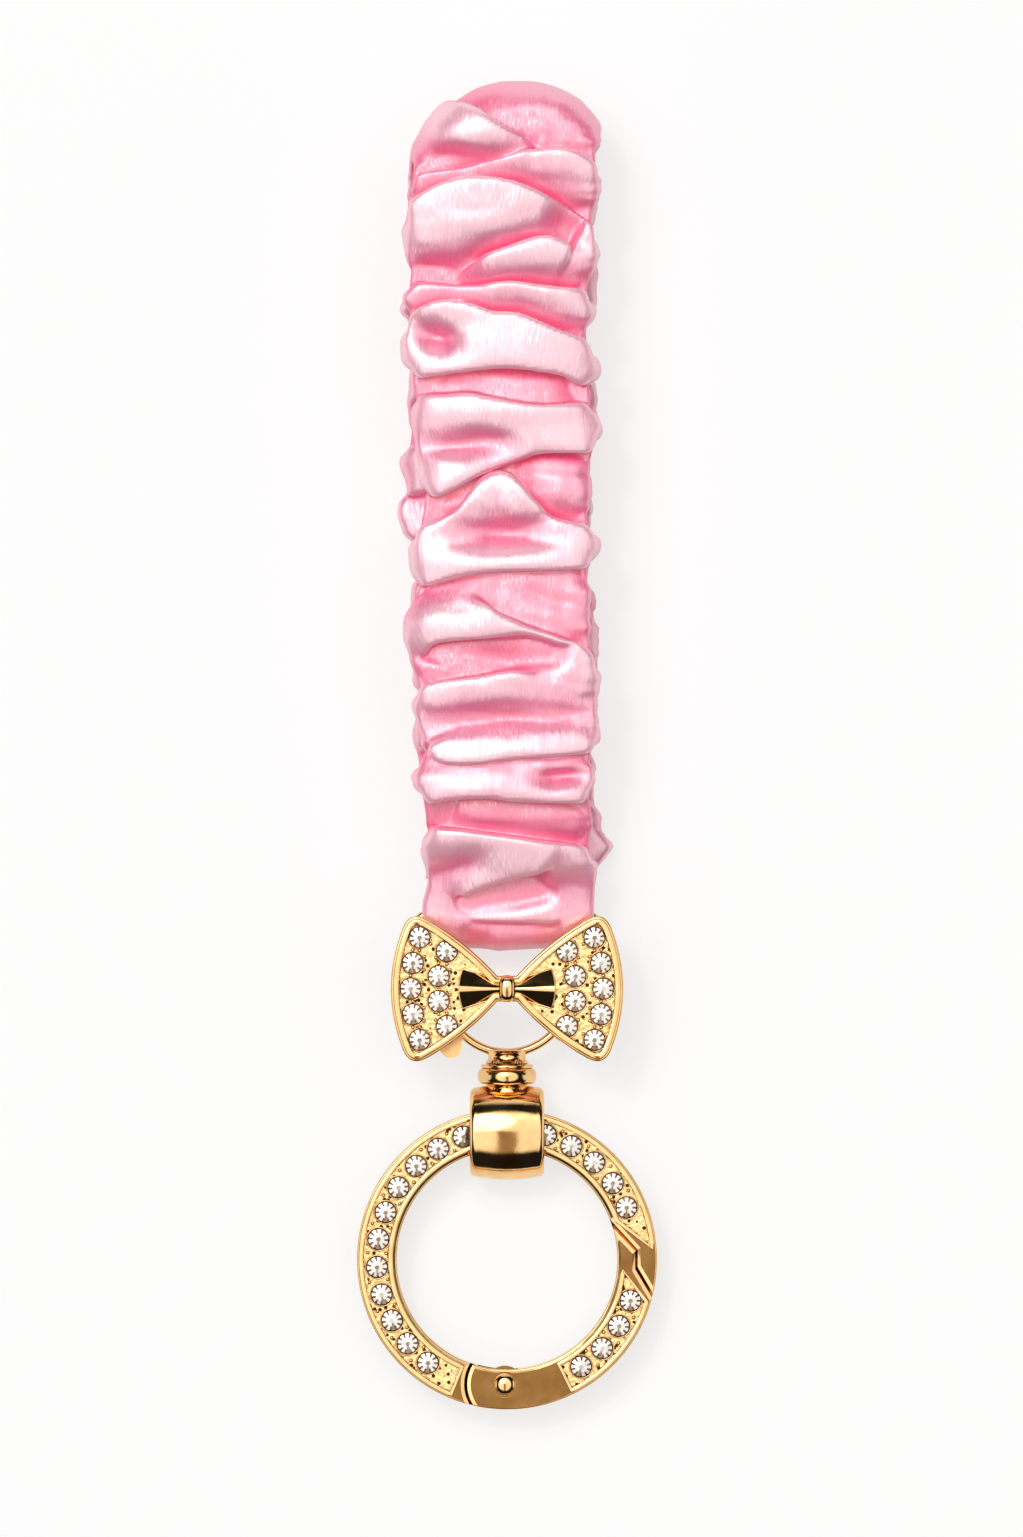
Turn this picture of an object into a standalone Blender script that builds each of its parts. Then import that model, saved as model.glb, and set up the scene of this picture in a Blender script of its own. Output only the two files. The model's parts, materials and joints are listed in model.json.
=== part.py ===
# Ruched satin wrist strap on a bow-fronted strap ring, with a swivel and a spring-gate ring.
# It lies flat: +Y runs up the strap, +Z faces the viewer and z = 0 is the table.
import math

import bmesh
import bpy
from mathutils import Matrix, Vector

MM = 0.001

# Strap loop
STRAP_LENGTH = 108.0 * MM     # from the fold round the bar to the top of the loop
STRAP_WIDTH = 23.6 * MM       # over the crests of the folds
STRAP_LEAN = -1.0 * MM        # sideways drift of the loop's top
TOP_ROUND = 5.5 * MM          # how far the loop's rounded top drops towards its edges
TOP_LENGTH = 18.0 * MM        # the top rounds off over this length
LAYER_THICK = 5.0 * MM        # one gathered layer, over its crests
LOOP_GAP = 5.6 * MM           # clear height between the two layers
FOLD_PITCH = 6.8 * MM         # along the strap, crest to crest
FOLD_DEPTH = 1.2 * MM         # crest to valley, on each face
FOLD_SLANT = 1.5 * MM         # how far a fold drifts along the strap at each edge
BAR_WIDTH = 20.6 * MM         # width of the strap where the bar gathers it
PUFF_LENGTH = 12.0 * MM       # the layers swell to full thickness in this distance from the bar
RISE_LENGTH = 20.0 * MM       # the layers part to full height in this distance from the bar
FLAT_CUT = 0.5 * MM           # depth of the flat that the loop lies on
SEAM_RISE = 4.5 * MM          # butt seam on the back layer, measured up from the bar
SEAM_GAP = 0.8 * MM           # between the two ends of the sleeve
CLOTH_WALL = 0.4 * MM         # thinnest gathered wall, at the bar
ELASTIC_WIDTH = 16.0 * MM
ELASTIC_THICK = 0.8 * MM
STITCH_RADIUS = 0.18 * MM
LEG_STEPS = 160               # points on the strap's middle line: each leg, each turn, the seam's tail
TURN_STEPS = 40
TAIL_STEPS = 30
STITCH_PITCH = 1.7 * MM       # across the strap, from one stitch to the next

# Strap ring
BAR_DEPTH = 2.4 * MM          # wire height, front to back
BAR_THICK = 1.1 * MM          # wire width, seen from the front
RING_DROP = 17.3 * MM         # bar axis to the middle of the lower arc
LOWER_ARC = 7.95 * MM         # radius of the lower arc, at mid wire
CORNER_ARC = 1.6 * MM
NECK_RADIUS = 2.75 * MM
NECK_LENGTH = 1.4 * MM        # below the middle of the lower arc

# Bow
BOW_DROP = 9.15 * MM          # bar axis to bow centre
BOW_HALF_WIDTH = 14.5 * MM
BOW_HALF_HEIGHT = 9.0 * MM
BOW_WAIST = 1.6 * MM          # half height beside the knot
BOW_THICK = 2.5 * MM
BOW_RIM = 0.6 * MM
EDGE_BULGE = 1.45 * MM        # outer edge of a wing
SLOPE_BULGE = 0.45 * MM       # sloping edges of a wing
CORNER_BULGE = 0.95 * MM
PLEAT_START = 1.0 * MM
PLEAT_END = 5.6 * MM
PLEAT_RADII = (0.5 * MM, 1.2 * MM)
KNOT_HALF = (1.3 * MM, 1.75 * MM, 1.5 * MM)
FOOT_RADIUS = 1.4 * MM

# Stones
STONE_DIAMETER = 2.8 * MM
STONE_SPACE = 0.7 * MM        # least space between two stones in a row
SEAT_GAP = 0.12 * MM
BED_DEPTH = 0.55 * MM         # rim top to bed
WING_SPACE = 0.3 * MM         # least space between two stones on a wing
WING_COLUMNS = ((0.71, 0.828, 1.1 * MM), (0.52, 0.596, 1.15 * MM))  # height and place over half, bow

# Swivel and ring holder
PIN_RADIUS = 1.1 * MM
PIN_HEAD = 1.75 * MM
PIN_HEAD_THICK = 0.6 * MM
COLLAR_RADIUS = 3.65 * MM
COLLAR_LENGTH = 1.95 * MM
HOLDER_WIDTH = 9.3 * MM
HOLDER_WALL = 1.7 * MM        # round the eye, at the crown
HOLDER_CROWN = 0.55 * MM      # drop of the barrel from its middle to its ends
HOLDER_DEPTH_RATIO = 0.84     # front to back over up and down
BOSS_RADIUS = 3.2 * MM
BOSS_RISE = 0.3 * MM
FLOOR_GAP = 0.16 * MM

# Spring-gate ring
RING_OUTER = 18.8 * MM
RING_INNER = 13.8 * MM
RING_THICK = 3.2 * MM
RING_RIM = 0.6 * MM
RING_EDGE = 0.3 * MM          # chamfer on the ring's edges
RING_HANG = 0.4 * MM          # ring's mid line above the middle of the eye
LATCH_STEP = 1.1 * MM         # half height of the latch's upright step
LATCH_SLOPES = (1.09, 1.7)    # inner and outer flanks of the latch
LATCH_GAP = 0.24 * MM
HINGE_ANGLE = math.radians(269.0)
HINGE_INSET = 0.65 * MM       # hinge inside the ring's mid line
GATE_SHOULDER = 1.55 * MM     # the gate's round end reaches this far past the ring's edge
GATE_TRAVEL = math.radians(35.0)
FRAME_BED = (math.radians(4.5), math.radians(19.5))      # latch end of the bed, outer and inner
GATE_BED = (math.radians(-16.8), math.radians(-5.4))
GATE_BLOCK = math.radians(-63.7)                          # plain hinge block ends here
TONGUE_RADIUS = 1.9 * MM
TONGUE_THICK = 0.6 * MM
FORK_SLOT = 1.8 * MM
RIVET_RADIUS = 0.75 * MM
RIVET_HEAD = 1.25 * MM
RIVET_DOME = 0.6 * MM
SPRING_WIRE = 0.14 * MM       # radius of the spring's wire

# Fits
CLEARANCE = 0.3 * MM
FINE_GAP = 0.15 * MM

# Derived sizes
SLOT_HALF = ELASTIC_THICK / 2 + CLEARANCE
BAR_HALF = SLOT_HALF + CLOTH_WALL
WRAP_MID = BAR_DEPTH / 2 + CLEARANCE + BAR_HALF
WRAP_OUTER = WRAP_MID + BAR_HALF
RING_MID = (RING_OUTER + RING_INNER) / 2
BACK_MID = LAYER_THICK / 2 - FLAT_CUT
FRONT_MID = BACK_MID + LAYER_THICK + LOOP_GAP
TURN_MID = (FRONT_MID - BACK_MID) / 2
RING_SWING = math.hypot((RING_OUTER - RING_INNER) / 2 + RING_HANG, RING_THICK / 2)
HOLDER_RADIUS = (RING_SWING + CLEARANCE) / HOLDER_DEPTH_RATIO + HOLDER_WALL    # up and down
AXIS_Z = HOLDER_RADIUS * HOLDER_DEPTH_RATIO + FLOOR_GAP
NECK_END = RING_DROP + NECK_LENGTH
COLLAR_END = NECK_END + FINE_GAP + COLLAR_LENGTH
EYE_DROP = COLLAR_END + FINE_GAP + BOSS_RISE + HOLDER_RADIUS
RING_CENTRE = -(RING_MID - RING_HANG)                  # from the eye
LOOP_TOP = STRAP_LENGTH - WRAP_OUTER
TOTAL_BELOW = EYE_DROP - RING_CENTRE + RING_OUTER
BAR_Y = (TOTAL_BELOW - LOOP_TOP) / 2
HINGE_RADIUS = RING_MID - HINGE_INSET
GATE_END = RING_OUTER - HINGE_RADIUS + GATE_SHOULDER    # about the hinge
SOCKET_END = GATE_END + 0.4 * MM
BOW_LIFT = WRAP_OUTER + CLEARANCE                      # bar axis to the back of the bow
STONE_RADIUS = STONE_DIAMETER / 2
STONE_DEPTH = 0.75 * STONE_RADIUS
STONE_PITCH = (STONE_DIAMETER + STONE_SPACE) / RING_MID


def clear_scene():
    for obj in list(bpy.data.objects):
        bpy.data.objects.remove(obj, do_unlink=True)


def material(name, colour, roughness, metallic):
    made = bpy.data.materials.new(name)
    made.use_nodes = True
    shader = made.node_tree.nodes["Principled BSDF"]
    shader.inputs["Base Color"].default_value = (*colour, 1.0)
    shader.inputs["Roughness"].default_value = roughness
    shader.inputs["Metallic"].default_value = metallic
    return made


def add_empty(name, parent, location):
    empty = bpy.data.objects.new(name, None)
    empty.empty_display_size = 5 * MM
    empty.parent = parent
    empty.location = location
    bpy.context.scene.collection.objects.link(empty)
    return empty


def add_mesh(name, mesh, parent, location=(0, 0, 0)):
    obj = bpy.data.objects.new(name, mesh)
    obj.parent = parent
    obj.location = location
    bpy.context.scene.collection.objects.link(obj)
    return obj


def add_piece(name, bm, finish, parent, location=(0, 0, 0)):
    bmesh.ops.recalc_face_normals(bm, faces=bm.faces)
    mesh = bpy.data.meshes.new(name)
    bm.to_mesh(mesh)
    bm.free()
    mesh.materials.append(finish)
    return add_mesh(name, mesh, parent, location)


def shape(target, bm, operation, location=(0, 0, 0)):
    # Joins or cuts a hidden helper solid, given in the target's own frame.
    bmesh.ops.recalc_face_normals(bm, faces=bm.faces)
    name = f"{target.name}_{operation.lower()}_{len(target.modifiers)}"
    mesh = bpy.data.meshes.new(name)
    bm.to_mesh(mesh)
    bm.free()
    helper = add_mesh(name, mesh, target.parent, Vector(target.location) + Vector(location))
    helper.hide_render = True
    helper.display_type = "WIRE"
    step = target.modifiers.new(operation.title(), "BOOLEAN")
    step.operation = operation
    step.solver = "EXACT"
    step.object = helper


def arc(centre, radius, start, end, steps):
    points = []
    for k in range(steps + 1):
        angle = start + (end - start) * k / steps
        points.append((centre[0] + radius * math.cos(angle), centre[1] + radius * math.sin(angle)))
    return points


def bowed(a, b, bulge, steps):
    # Points after a, up to b, on a shallow curve that stands out to the left by the bulge.
    a, b = Vector(a), Vector(b)
    left = Vector((a.y - b.y, b.x - a.x)).normalized()
    points = []
    for k in range(1, steps + 1):
        share = k / steps
        point = a.lerp(b, share) + left * bulge * 4 * share * (1 - share)
        points.append((point.x, point.y))
    return points


def prism(outline, low, high):
    bm = bmesh.new()
    face = bm.faces.new([bm.verts.new((x, y, low)) for x, y in outline])
    grown = bmesh.ops.extrude_face_region(bm, geom=[face])
    moved = [item for item in grown["geom"] if isinstance(item, bmesh.types.BMVert)]
    bmesh.ops.translate(bm, vec=(0, 0, high - low), verts=moved)
    bmesh.ops.recalc_face_normals(bm, faces=bm.faces)
    return bm


def round_rims(bm, levels, size, segments):
    edges = [e for e in bm.edges if any(all(abs(v.co.z - z) < 1e-7 for v in e.verts) for z in levels)]
    bmesh.ops.bevel(bm, geom=edges, offset=size, segments=segments, profile=0.5, affect="EDGES")


def turned(profile, segments, axis):
    # Revolves (radius, place along the axis) points into a solid about the named axis.
    bm = bmesh.new()
    ring = [bm.verts.new((radius, 0, along)) for radius, along in profile]
    edges = [bm.edges.new((a, b)) for a, b in zip(ring, ring[1:] + ring[:1])]
    bmesh.ops.spin(bm, geom=ring + edges, cent=(0, 0, 0), axis=(0, 0, 1), dvec=(0, 0, 0),
                   angle=2 * math.pi, steps=segments, use_merge=True)
    bmesh.ops.remove_doubles(bm, verts=bm.verts, dist=1e-7)
    turn = {"X": Matrix.Rotation(math.pi / 2, 3, "Y"), "Y": Matrix.Rotation(-math.pi / 2, 3, "X")}
    if axis in turn:
        bmesh.ops.rotate(bm, cent=(0, 0, 0), matrix=turn[axis], verts=bm.verts)
    return bm


def joined(loops, closed):
    # Skins a list of equal vertex loops; an open skin is returned with no end faces.
    bm = bmesh.new()
    rings = [[bm.verts.new(point) for point in loop] for loop in loops]
    pairs = list(zip(rings, rings[1:]))
    if closed:
        pairs.append((rings[-1], rings[0]))
    for low, high in pairs:
        for k in range(len(low)):
            after = (k + 1) % len(low)
            bm.faces.new((low[k], low[after], high[after], high[k]))
    return bm, rings


def smooth(share):
    share = min(max(share, 0.0), 1.0)
    return share * share * (3 - 2 * share)


def loop_height(y, at_bar, at_layer):
    return at_bar + (at_layer - at_bar) * smooth((y - BAR_Y) / RISE_LENGTH)


def loop_line():
    # Middle of the strap in the upright Y-Z plane, from the seam up the back, over and round the bar.
    turn_y = LOOP_TOP + BAR_Y - LAYER_THICK / 2 - TURN_MID
    seam_y = BAR_Y + SEAM_RISE
    line = []
    for k in range(LEG_STEPS):
        y = seam_y + (turn_y - seam_y) * k / LEG_STEPS
        line.append((y, loop_height(y, AXIS_Z - WRAP_MID, BACK_MID)))
    line += arc((turn_y, BACK_MID + TURN_MID), TURN_MID, -math.pi / 2, math.pi / 2, TURN_STEPS)
    for k in range(1, LEG_STEPS):
        y = turn_y + (BAR_Y - turn_y) * k / LEG_STEPS
        line.append((y, loop_height(y, AXIS_Z + WRAP_MID, FRONT_MID)))
    line += arc((BAR_Y, AXIS_Z), WRAP_MID, math.pi / 2, math.pi * 3 / 2, TURN_STEPS)
    for k in range(1, TAIL_STEPS + 1):
        y = BAR_Y + SEAM_RISE * k / TAIL_STEPS
        line.append((y, loop_height(y, AXIS_Z - WRAP_MID, BACK_MID)))
    return [Vector(point) for point in line]


class StrapPath:
    # Place, outward side and swelling of the strap at any distance along it.
    def __init__(self):
        self.line = loop_line()
        self.marks = [0.0]
        for a, b in zip(self.line, self.line[1:]):
            self.marks.append(self.marks[-1] + (b - a).length)
        self.length = self.marks[-1] - SEAM_GAP
        self.turn = (self.marks[LEG_STEPS], self.marks[LEG_STEPS + TURN_STEPS])
        wrapped = len(self.marks) - 1 - TAIL_STEPS
        self.bar = (self.marks[wrapped - TURN_STEPS], self.marks[wrapped])

    def at(self, distance):
        distance = min(max(distance, 0.0), self.marks[-1])
        k = next(i for i, mark in enumerate(self.marks[1:], 1) if distance <= mark + 1e-9)
        low, high = self.line[k - 1], self.line[k]
        share = (distance - self.marks[k - 1]) / (self.marks[k] - self.marks[k - 1])
        along = (high - low).normalized()
        return low.lerp(high, share), Vector((along.y, -along.x))

    def puff(self, distance):
        return smooth((self.at(distance)[0].x - BAR_Y) / PUFF_LENGTH)

    def band_stations(self):
        # Distances for the plain band inside: close together only where the loop turns.
        low, high = self.turn
        start, end = self.bar
        spans = ((0.0, low, 11), (low, high, 8), (high, start, 12), (start, end, 8), (end, self.length, 2))
        marks = [a + (b - a) * k / steps for a, b, steps in spans for k in range(steps)]
        return marks + [self.length]

    def stations(self):
        # (distance, fold): crests 1 and valleys -1 in turn, one crest at the very top of the loop.
        top = sum(self.turn) / 2
        start, end = self.bar
        marks = []
        for a, b in ((0.0, top), (top, start)):
            count = 2 * round((b - a) / FOLD_PITCH)
            marks += [(a + (b - a) * k / count, 1 - 2 * (k % 2)) for k in range(count)]
        marks += [(start + (end - start) * k / 8, 0) for k in range(9)]
        return marks + [((end + self.length) / 2, 1), (self.length, 0)]

    def place(self, distance, across, out):
        point, side = self.at(distance)
        lean = STRAP_LEAN * smooth((point.x - BAR_Y) / STRAP_LENGTH)
        top = smooth((point.x - BAR_Y - LOOP_TOP + TOP_LENGTH) / TOP_LENGTH)
        drop = TOP_ROUND * top * (2 * across / STRAP_WIDTH) ** 2
        return (across + lean, point.x + side.x * out - drop, point.y + side.y * out)


def outer_loops(path):
    around = 12
    loops = []
    for index, (distance, fold) in enumerate(path.stations()):
        puff = path.puff(distance)
        ends = smooth(min(distance, path.length - distance) / (4 * MM))
        half_thick = BAR_HALF + (LAYER_THICK / 2 - BAR_HALF) * puff
        half_wide = (BAR_WIDTH + (STRAP_WIDTH - BAR_WIDTH) * puff) / 2
        valley = FOLD_DEPTH * puff * ends * (1 - fold) / 2
        slant = FOLD_SLANT * puff * ends * math.sin(0.9 * index // 2)
        loop = []
        for k in range(around):
            angle = 2 * math.pi * k / around
            across = math.copysign(math.sqrt(abs(math.cos(angle))), math.cos(angle))
            out = math.copysign(math.sqrt(abs(math.sin(angle))), math.sin(angle))
            loop.append(path.place(distance + slant * across, (half_wide - 0.5 * valley) * across,
                                   (half_thick - valley) * out))
        loops.append(loop)
    return loops


def band_loops(path, half_wide, half_thick, inset):
    corners = ((1, -1), (1, 1), (0, 1), (-1, 1), (-1, -1), (0, -1))
    loops = []
    for distance in path.band_stations():
        distance = min(max(distance, inset), path.length - inset)
        loops.append([path.place(distance, half_wide * a, half_thick * b) for a, b in corners])
    return loops


def make_sleeve(path, finish, parent):
    bm, rings = joined(outer_loops(path), False)
    slot = band_loops(path, ELASTIC_WIDTH / 2 + CLEARANCE, SLOT_HALF, 0.0)
    inner = [[bm.verts.new(point) for point in loop] for loop in slot]
    for low, high in zip(inner, inner[1:]):
        for k in range(len(low)):
            after = (k + 1) % len(low)
            bm.faces.new((low[k], high[k], high[after], low[after]))
    for outer_end, inner_end in ((rings[0], inner[0]), (rings[-1], inner[-1])):
        edges = []
        for ring in (outer_end, inner_end):
            edges += [bm.edges.get((ring[k], ring[(k + 1) % len(ring)])) for k in range(len(ring))]
        bmesh.ops.bridge_loops(bm, edges=edges)
    bmesh.ops.triangulate(bm, faces=bm.faces)
    bmesh.ops.recalc_face_normals(bm, faces=bm.faces)
    flat = bmesh.ops.bisect_plane(bm, geom=bm.verts[:] + bm.edges[:] + bm.faces[:], dist=1e-7,
                                  plane_co=(0, 0, 0), plane_no=(0, 0, -1), clear_outer=True)
    rim = [item for item in flat["geom_cut"] if isinstance(item, bmesh.types.BMEdge)]
    bmesh.ops.edgeloop_fill(bm, edges=rim)
    return add_piece("satin_sleeve", bm, finish, parent)


def make_elastic(path, finish, parent):
    bm, rings = joined(band_loops(path, ELASTIC_WIDTH / 2, ELASTIC_THICK / 2, CLEARANCE), False)
    bm.faces.new(rings[0])
    bm.faces.new(rings[-1])
    return add_piece("elastic_band", bm, finish, parent)


def tube(points, radius, resolution):
    curve = bpy.data.curves.new("route", "CURVE")
    curve.dimensions = "3D"
    curve.bevel_depth = radius
    curve.bevel_resolution = resolution
    curve.use_fill_caps = True
    line = curve.splines.new("POLY")
    line.points.add(len(points) - 1)
    for spot, place in zip(line.points, points):
        spot.co = (*place, 1.0)
    return curve


def make_stitches(path, finish, parent):
    # One thread runs to and fro over the butt seam, just proud of the satin.
    half_wide = ELASTIC_WIDTH / 2
    count = 2 * round(half_wide / STITCH_PITCH)
    reach = SEAM_GAP / 2 + 0.9 * MM
    proud = BAR_HALF + (LAYER_THICK / 2 - BAR_HALF) * path.puff(0.0) + STITCH_RADIUS + FINE_GAP
    seam, side = path.at(0.0)
    along = Vector((-side.y, side.x))
    middle = seam - along * SEAM_GAP / 2 + side * proud
    points = []
    for k in range(count + 1):
        swing = reach * (1 - 2 * (k % 2))
        spot = middle + along * swing
        points.append((half_wide * (2 * k / count - 1), spot.x, spot.y))
    stitches = add_mesh("closing_stitches", tube(points, STITCH_RADIUS, 1), parent)
    stitches.data.materials.append(finish)
    return stitches


def strap_ring_line():
    # Right half from the middle of the bar to the bottom of the lower arc, then its mirror image.
    side = BAR_WIDTH / 2 + 2 * CLEARANCE + BAR_THICK / 2
    arc_centre = (0, -RING_DROP + LOWER_ARC)
    join = math.radians(-38)
    half = [(0, 0)] + arc((side - CORNER_ARC, -CORNER_ARC), CORNER_ARC, math.pi / 2, 0, 4)
    lower = arc(arc_centre, LOWER_ARC, join, -math.pi / 2, 8)
    start = Vector((side, -CORNER_ARC))
    end = Vector(lower[0])
    tangent = Vector((math.sin(join), -math.cos(join)))
    pull = (end - start).length / 3
    knots = (start, start - Vector((0, pull)), end - tangent * pull, end)
    for k in range(1, 8):
        t = k / 8
        point = knots[0] * (1 - t) ** 3 + knots[1] * 3 * t * (1 - t) ** 2
        point += knots[2] * 3 * t * t * (1 - t) + knots[3] * t ** 3
        half.append((point.x, point.y))
    half += lower
    return half + [(-x, y) for x, y in half[-2:0:-1]]


def make_strap_ring(finish, parent):
    line = [Vector(point) for point in strap_ring_line()]
    loops = []
    for k, point in enumerate(line):
        along = (line[(k + 1) % len(line)] - line[k - 1]).normalized()
        out = Vector((along.y, -along.x))
        loop = []
        for step in range(8):
            angle = 2 * math.pi * (step + 0.5) / 8
            reach = point + out * BAR_THICK / 2 * math.cos(angle)
            loop.append((reach.x, reach.y, BAR_DEPTH / 2 * math.sin(angle)))
        loops.append(loop)
    bm, rings = joined(loops, True)
    ring = add_piece("strap_ring", bm, finish, parent)
    top = -RING_DROP + 0.4 * BAR_THICK
    flare = 0.25 * MM
    neck = [(0, top), (NECK_RADIUS - flare, top), (NECK_RADIUS, top - flare),
            (NECK_RADIUS, -NECK_END), (0, -NECK_END)]
    shape(ring, turned(neck, 24, "Y"), "UNION")
    bore = PIN_RADIUS + FINE_GAP
    hole = [(0, -RING_DROP), (bore, -RING_DROP), (bore, -NECK_END - 1 * MM), (0, -NECK_END - 1 * MM)]
    shape(ring, turned(hole, 20, "Y"), "DIFFERENCE")
    return ring


def wing_stones():
    # Centres on the right wing, in two bowed columns that follow its outer edge.
    spots = []
    for height, place, bow in WING_COLUMNS:
        span = BOW_HALF_HEIGHT * height
        count = int(2 * span / (STONE_DIAMETER + WING_SPACE)) + 1
        for k in range(count):
            level = 2 * k / (count - 1) - 1
            spots.append((BOW_HALF_WIDTH * place - bow * level * level, span * level))
    return spots


def bow_outline():
    # The corners start this far in from the bow's box.
    ease = 1.5 * MM
    waist = 1.2 * MM
    edge = BOW_HALF_WIDTH - EDGE_BULGE
    inner = edge - 3.1 * MM
    high = BOW_HALF_HEIGHT - 0.35 * MM
    half = [(waist, BOW_WAIST)]
    half += bowed((waist, BOW_WAIST), (inner, high), SLOPE_BULGE, 6)
    half += bowed((inner, high), (edge, BOW_HALF_HEIGHT - ease), CORNER_BULGE, 5)
    half += bowed((edge, BOW_HALF_HEIGHT - ease), (edge, ease - BOW_HALF_HEIGHT), EDGE_BULGE, 10)
    half += bowed((edge, ease - BOW_HALF_HEIGHT), (inner, -high), CORNER_BULGE, 5)
    half += bowed((inner, -high), (waist, -BOW_WAIST), SLOPE_BULGE, 6)
    return half + [(-x, y) for x, y in reversed(half)]


def capsule(a, b, radius):
    run = math.atan2(b[1] - a[1], b[0] - a[0])
    half = math.pi / 2
    return arc(b, radius, run - half, run + half, 7) + arc(a, radius, run + half, run + 3 * half, 7)


def make_bow(finish, parent):
    bm = prism(bow_outline(), 0, BOW_THICK)
    round_rims(bm, (BOW_THICK,), 0.3 * MM, 2)
    top = max(bm.faces, key=lambda f: (round(f.calc_center_median().z / MM, 3), f.calc_area()))
    bmesh.ops.inset_region(bm, faces=[top], thickness=BOW_RIM - 0.2 * MM, use_even_offset=True)
    sunk = bmesh.ops.extrude_discrete_faces(bm, faces=[top])["faces"]
    bmesh.ops.translate(bm, vec=(0, 0, -BED_DEPTH), verts=sunk[0].verts)
    bow = add_piece("bow_plate", bm, finish, parent, (0, -BOW_DROP, BOW_LIFT))
    bed = BOW_THICK - BED_DEPTH
    seats = [(side * x, y) for side in (1, -1) for x, y in wing_stones()]
    shape(bow, seat_cutter(seats, bed), "DIFFERENCE")
    small, large = PLEAT_RADII
    for side in (1, -1):
        for lobe in (1, -1):
            a = Vector((side * PLEAT_START, lobe * 0.8 * small, bed + 0.1 * MM))
            b = Vector((side * PLEAT_END, lobe * 0.88 * large, bed + 0.1 * MM))
            flute = bmesh.new()
            turn = (b - a).to_track_quat("Z", "Y").to_matrix().to_4x4()
            bmesh.ops.create_cone(flute, cap_ends=True, segments=12, radius1=small, radius2=large,
                                  depth=(b - a).length, matrix=Matrix.Translation((a + b) / 2) @ turn)
            shape(bow, flute, "UNION")
    knot = bmesh.new()
    grow = Matrix.Diagonal((*KNOT_HALF, 1.0))
    bmesh.ops.create_uvsphere(knot, u_segments=14, v_segments=8, radius=1.0,
                              matrix=Matrix.Translation((0, 0, bed)) @ grow)
    shape(bow, knot, "UNION")
    # The left foot shows under its wing, and the right one is shorter.
    foot_low = BAR_DEPTH / 2 + FINE_GAP - BOW_LIFT
    wire_x = 0.485 * BOW_HALF_WIDTH
    wire_y = -0.49 * BOW_HALF_HEIGHT
    for side, reach in ((-1, -0.81), (1, -0.58)):
        ends = ((side * wire_x, wire_y), (side * wire_x, reach * BOW_HALF_HEIGHT))
        shape(bow, prism(capsule(*ends, FOOT_RADIUS), foot_low, 0.4 * MM), "UNION")
    return bow


def seat_cutter(spots, bed):
    # A straight wall for the girdle over a cone for the point, at each spot.
    depth = STONE_DEPTH + FINE_GAP
    wide = STONE_RADIUS + SEAT_GAP
    levels = ((0.5 * STONE_RADIUS, bed - depth), (wide, bed - 0.4 * depth), (wide, bed + 2 * BED_DEPTH))
    sides = 12
    bm = bmesh.new()
    for spot in spots:
        rings = []
        for radius, height in levels:
            points = arc(spot, radius, 0, 2 * math.pi * (sides - 1) / sides, sides - 1)
            rings.append([bm.verts.new((x, y, height)) for x, y in points])
        bm.faces.new(rings[0])
        bm.faces.new(rings[-1])
        for low, high in zip(rings, rings[1:]):
            for k in range(sides):
                after = (k + 1) % sides
                bm.faces.new((low[k], low[after], high[after], high[k]))
    return bm


def stone_mesh(finish):
    # Eight-sided round stone: table, crown and pavilion, with its girdle at z = 0.
    bm = bmesh.new()
    levels = ((0.56 * STONE_RADIUS, 0.36 * STONE_RADIUS), (STONE_RADIUS, 0.0))
    rings = []
    for radius, height in levels:
        spots = arc((0, 0), radius, 0, 2 * math.pi * 7 / 8, 7)
        rings.append([bm.verts.new((x, y, height)) for x, y in spots])
    point = bm.verts.new((0, 0, -STONE_DEPTH))
    bm.faces.new(rings[0])
    for k in range(8):
        after = (k + 1) % 8
        bm.faces.new((rings[0][k], rings[1][k], rings[1][after], rings[0][after]))
        bm.faces.new((rings[1][k], point, rings[1][after]))
    bmesh.ops.recalc_face_normals(bm, faces=bm.faces)
    mesh = bpy.data.meshes.new("round_stone")
    bm.to_mesh(mesh)
    bm.free()
    mesh.materials.append(finish)
    return mesh


def make_pin(finish, parent):
    # Lies along -Y from the neck; its head sits in the roof of the holder's eye.
    top = -RING_DROP - FINE_GAP
    head = -EYE_DROP + HOLDER_RADIUS - HOLDER_WALL
    under = head + PIN_HEAD_THICK
    profile = [(0, top), (PIN_RADIUS, top), (PIN_RADIUS, under), (PIN_HEAD, under),
               (PIN_HEAD, head + 0.2 * MM), (PIN_HEAD - 0.2 * MM, head), (0, head)]
    return add_piece("swivel_pin", turned(profile, 20, "Y"), finish, parent)


def make_collar(finish, parent):
    # Three turned ridges, the middle one a little larger; the axis runs down from the neck.
    bore = PIN_RADIUS + FINE_GAP
    profile = [(bore, -FINE_GAP), (COLLAR_RADIUS - 0.5 * MM, -FINE_GAP)]
    ridges = 3
    for k in range(ridges):
        start = -FINE_GAP - COLLAR_LENGTH * (k + 0.08) / ridges
        end = -FINE_GAP - COLLAR_LENGTH * (k + 0.92) / ridges
        crest = COLLAR_RADIUS - (0 if k == 1 else 0.15 * MM)
        profile += [(crest - 0.18 * MM, start), (crest, (2 * start + end) / 3)]
        profile += [(crest, (start + 2 * end) / 3), (crest - 0.18 * MM, end)]
        if k < ridges - 1:
            profile.append((crest - 0.45 * MM, end - COLLAR_LENGTH * 0.08 / ridges))
    low = -FINE_GAP - COLLAR_LENGTH
    profile += [(COLLAR_RADIUS - 0.5 * MM, low), (bore, low)]
    return add_piece("swivel_collar", turned(profile, 24, "Y"), finish, parent)


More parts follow.
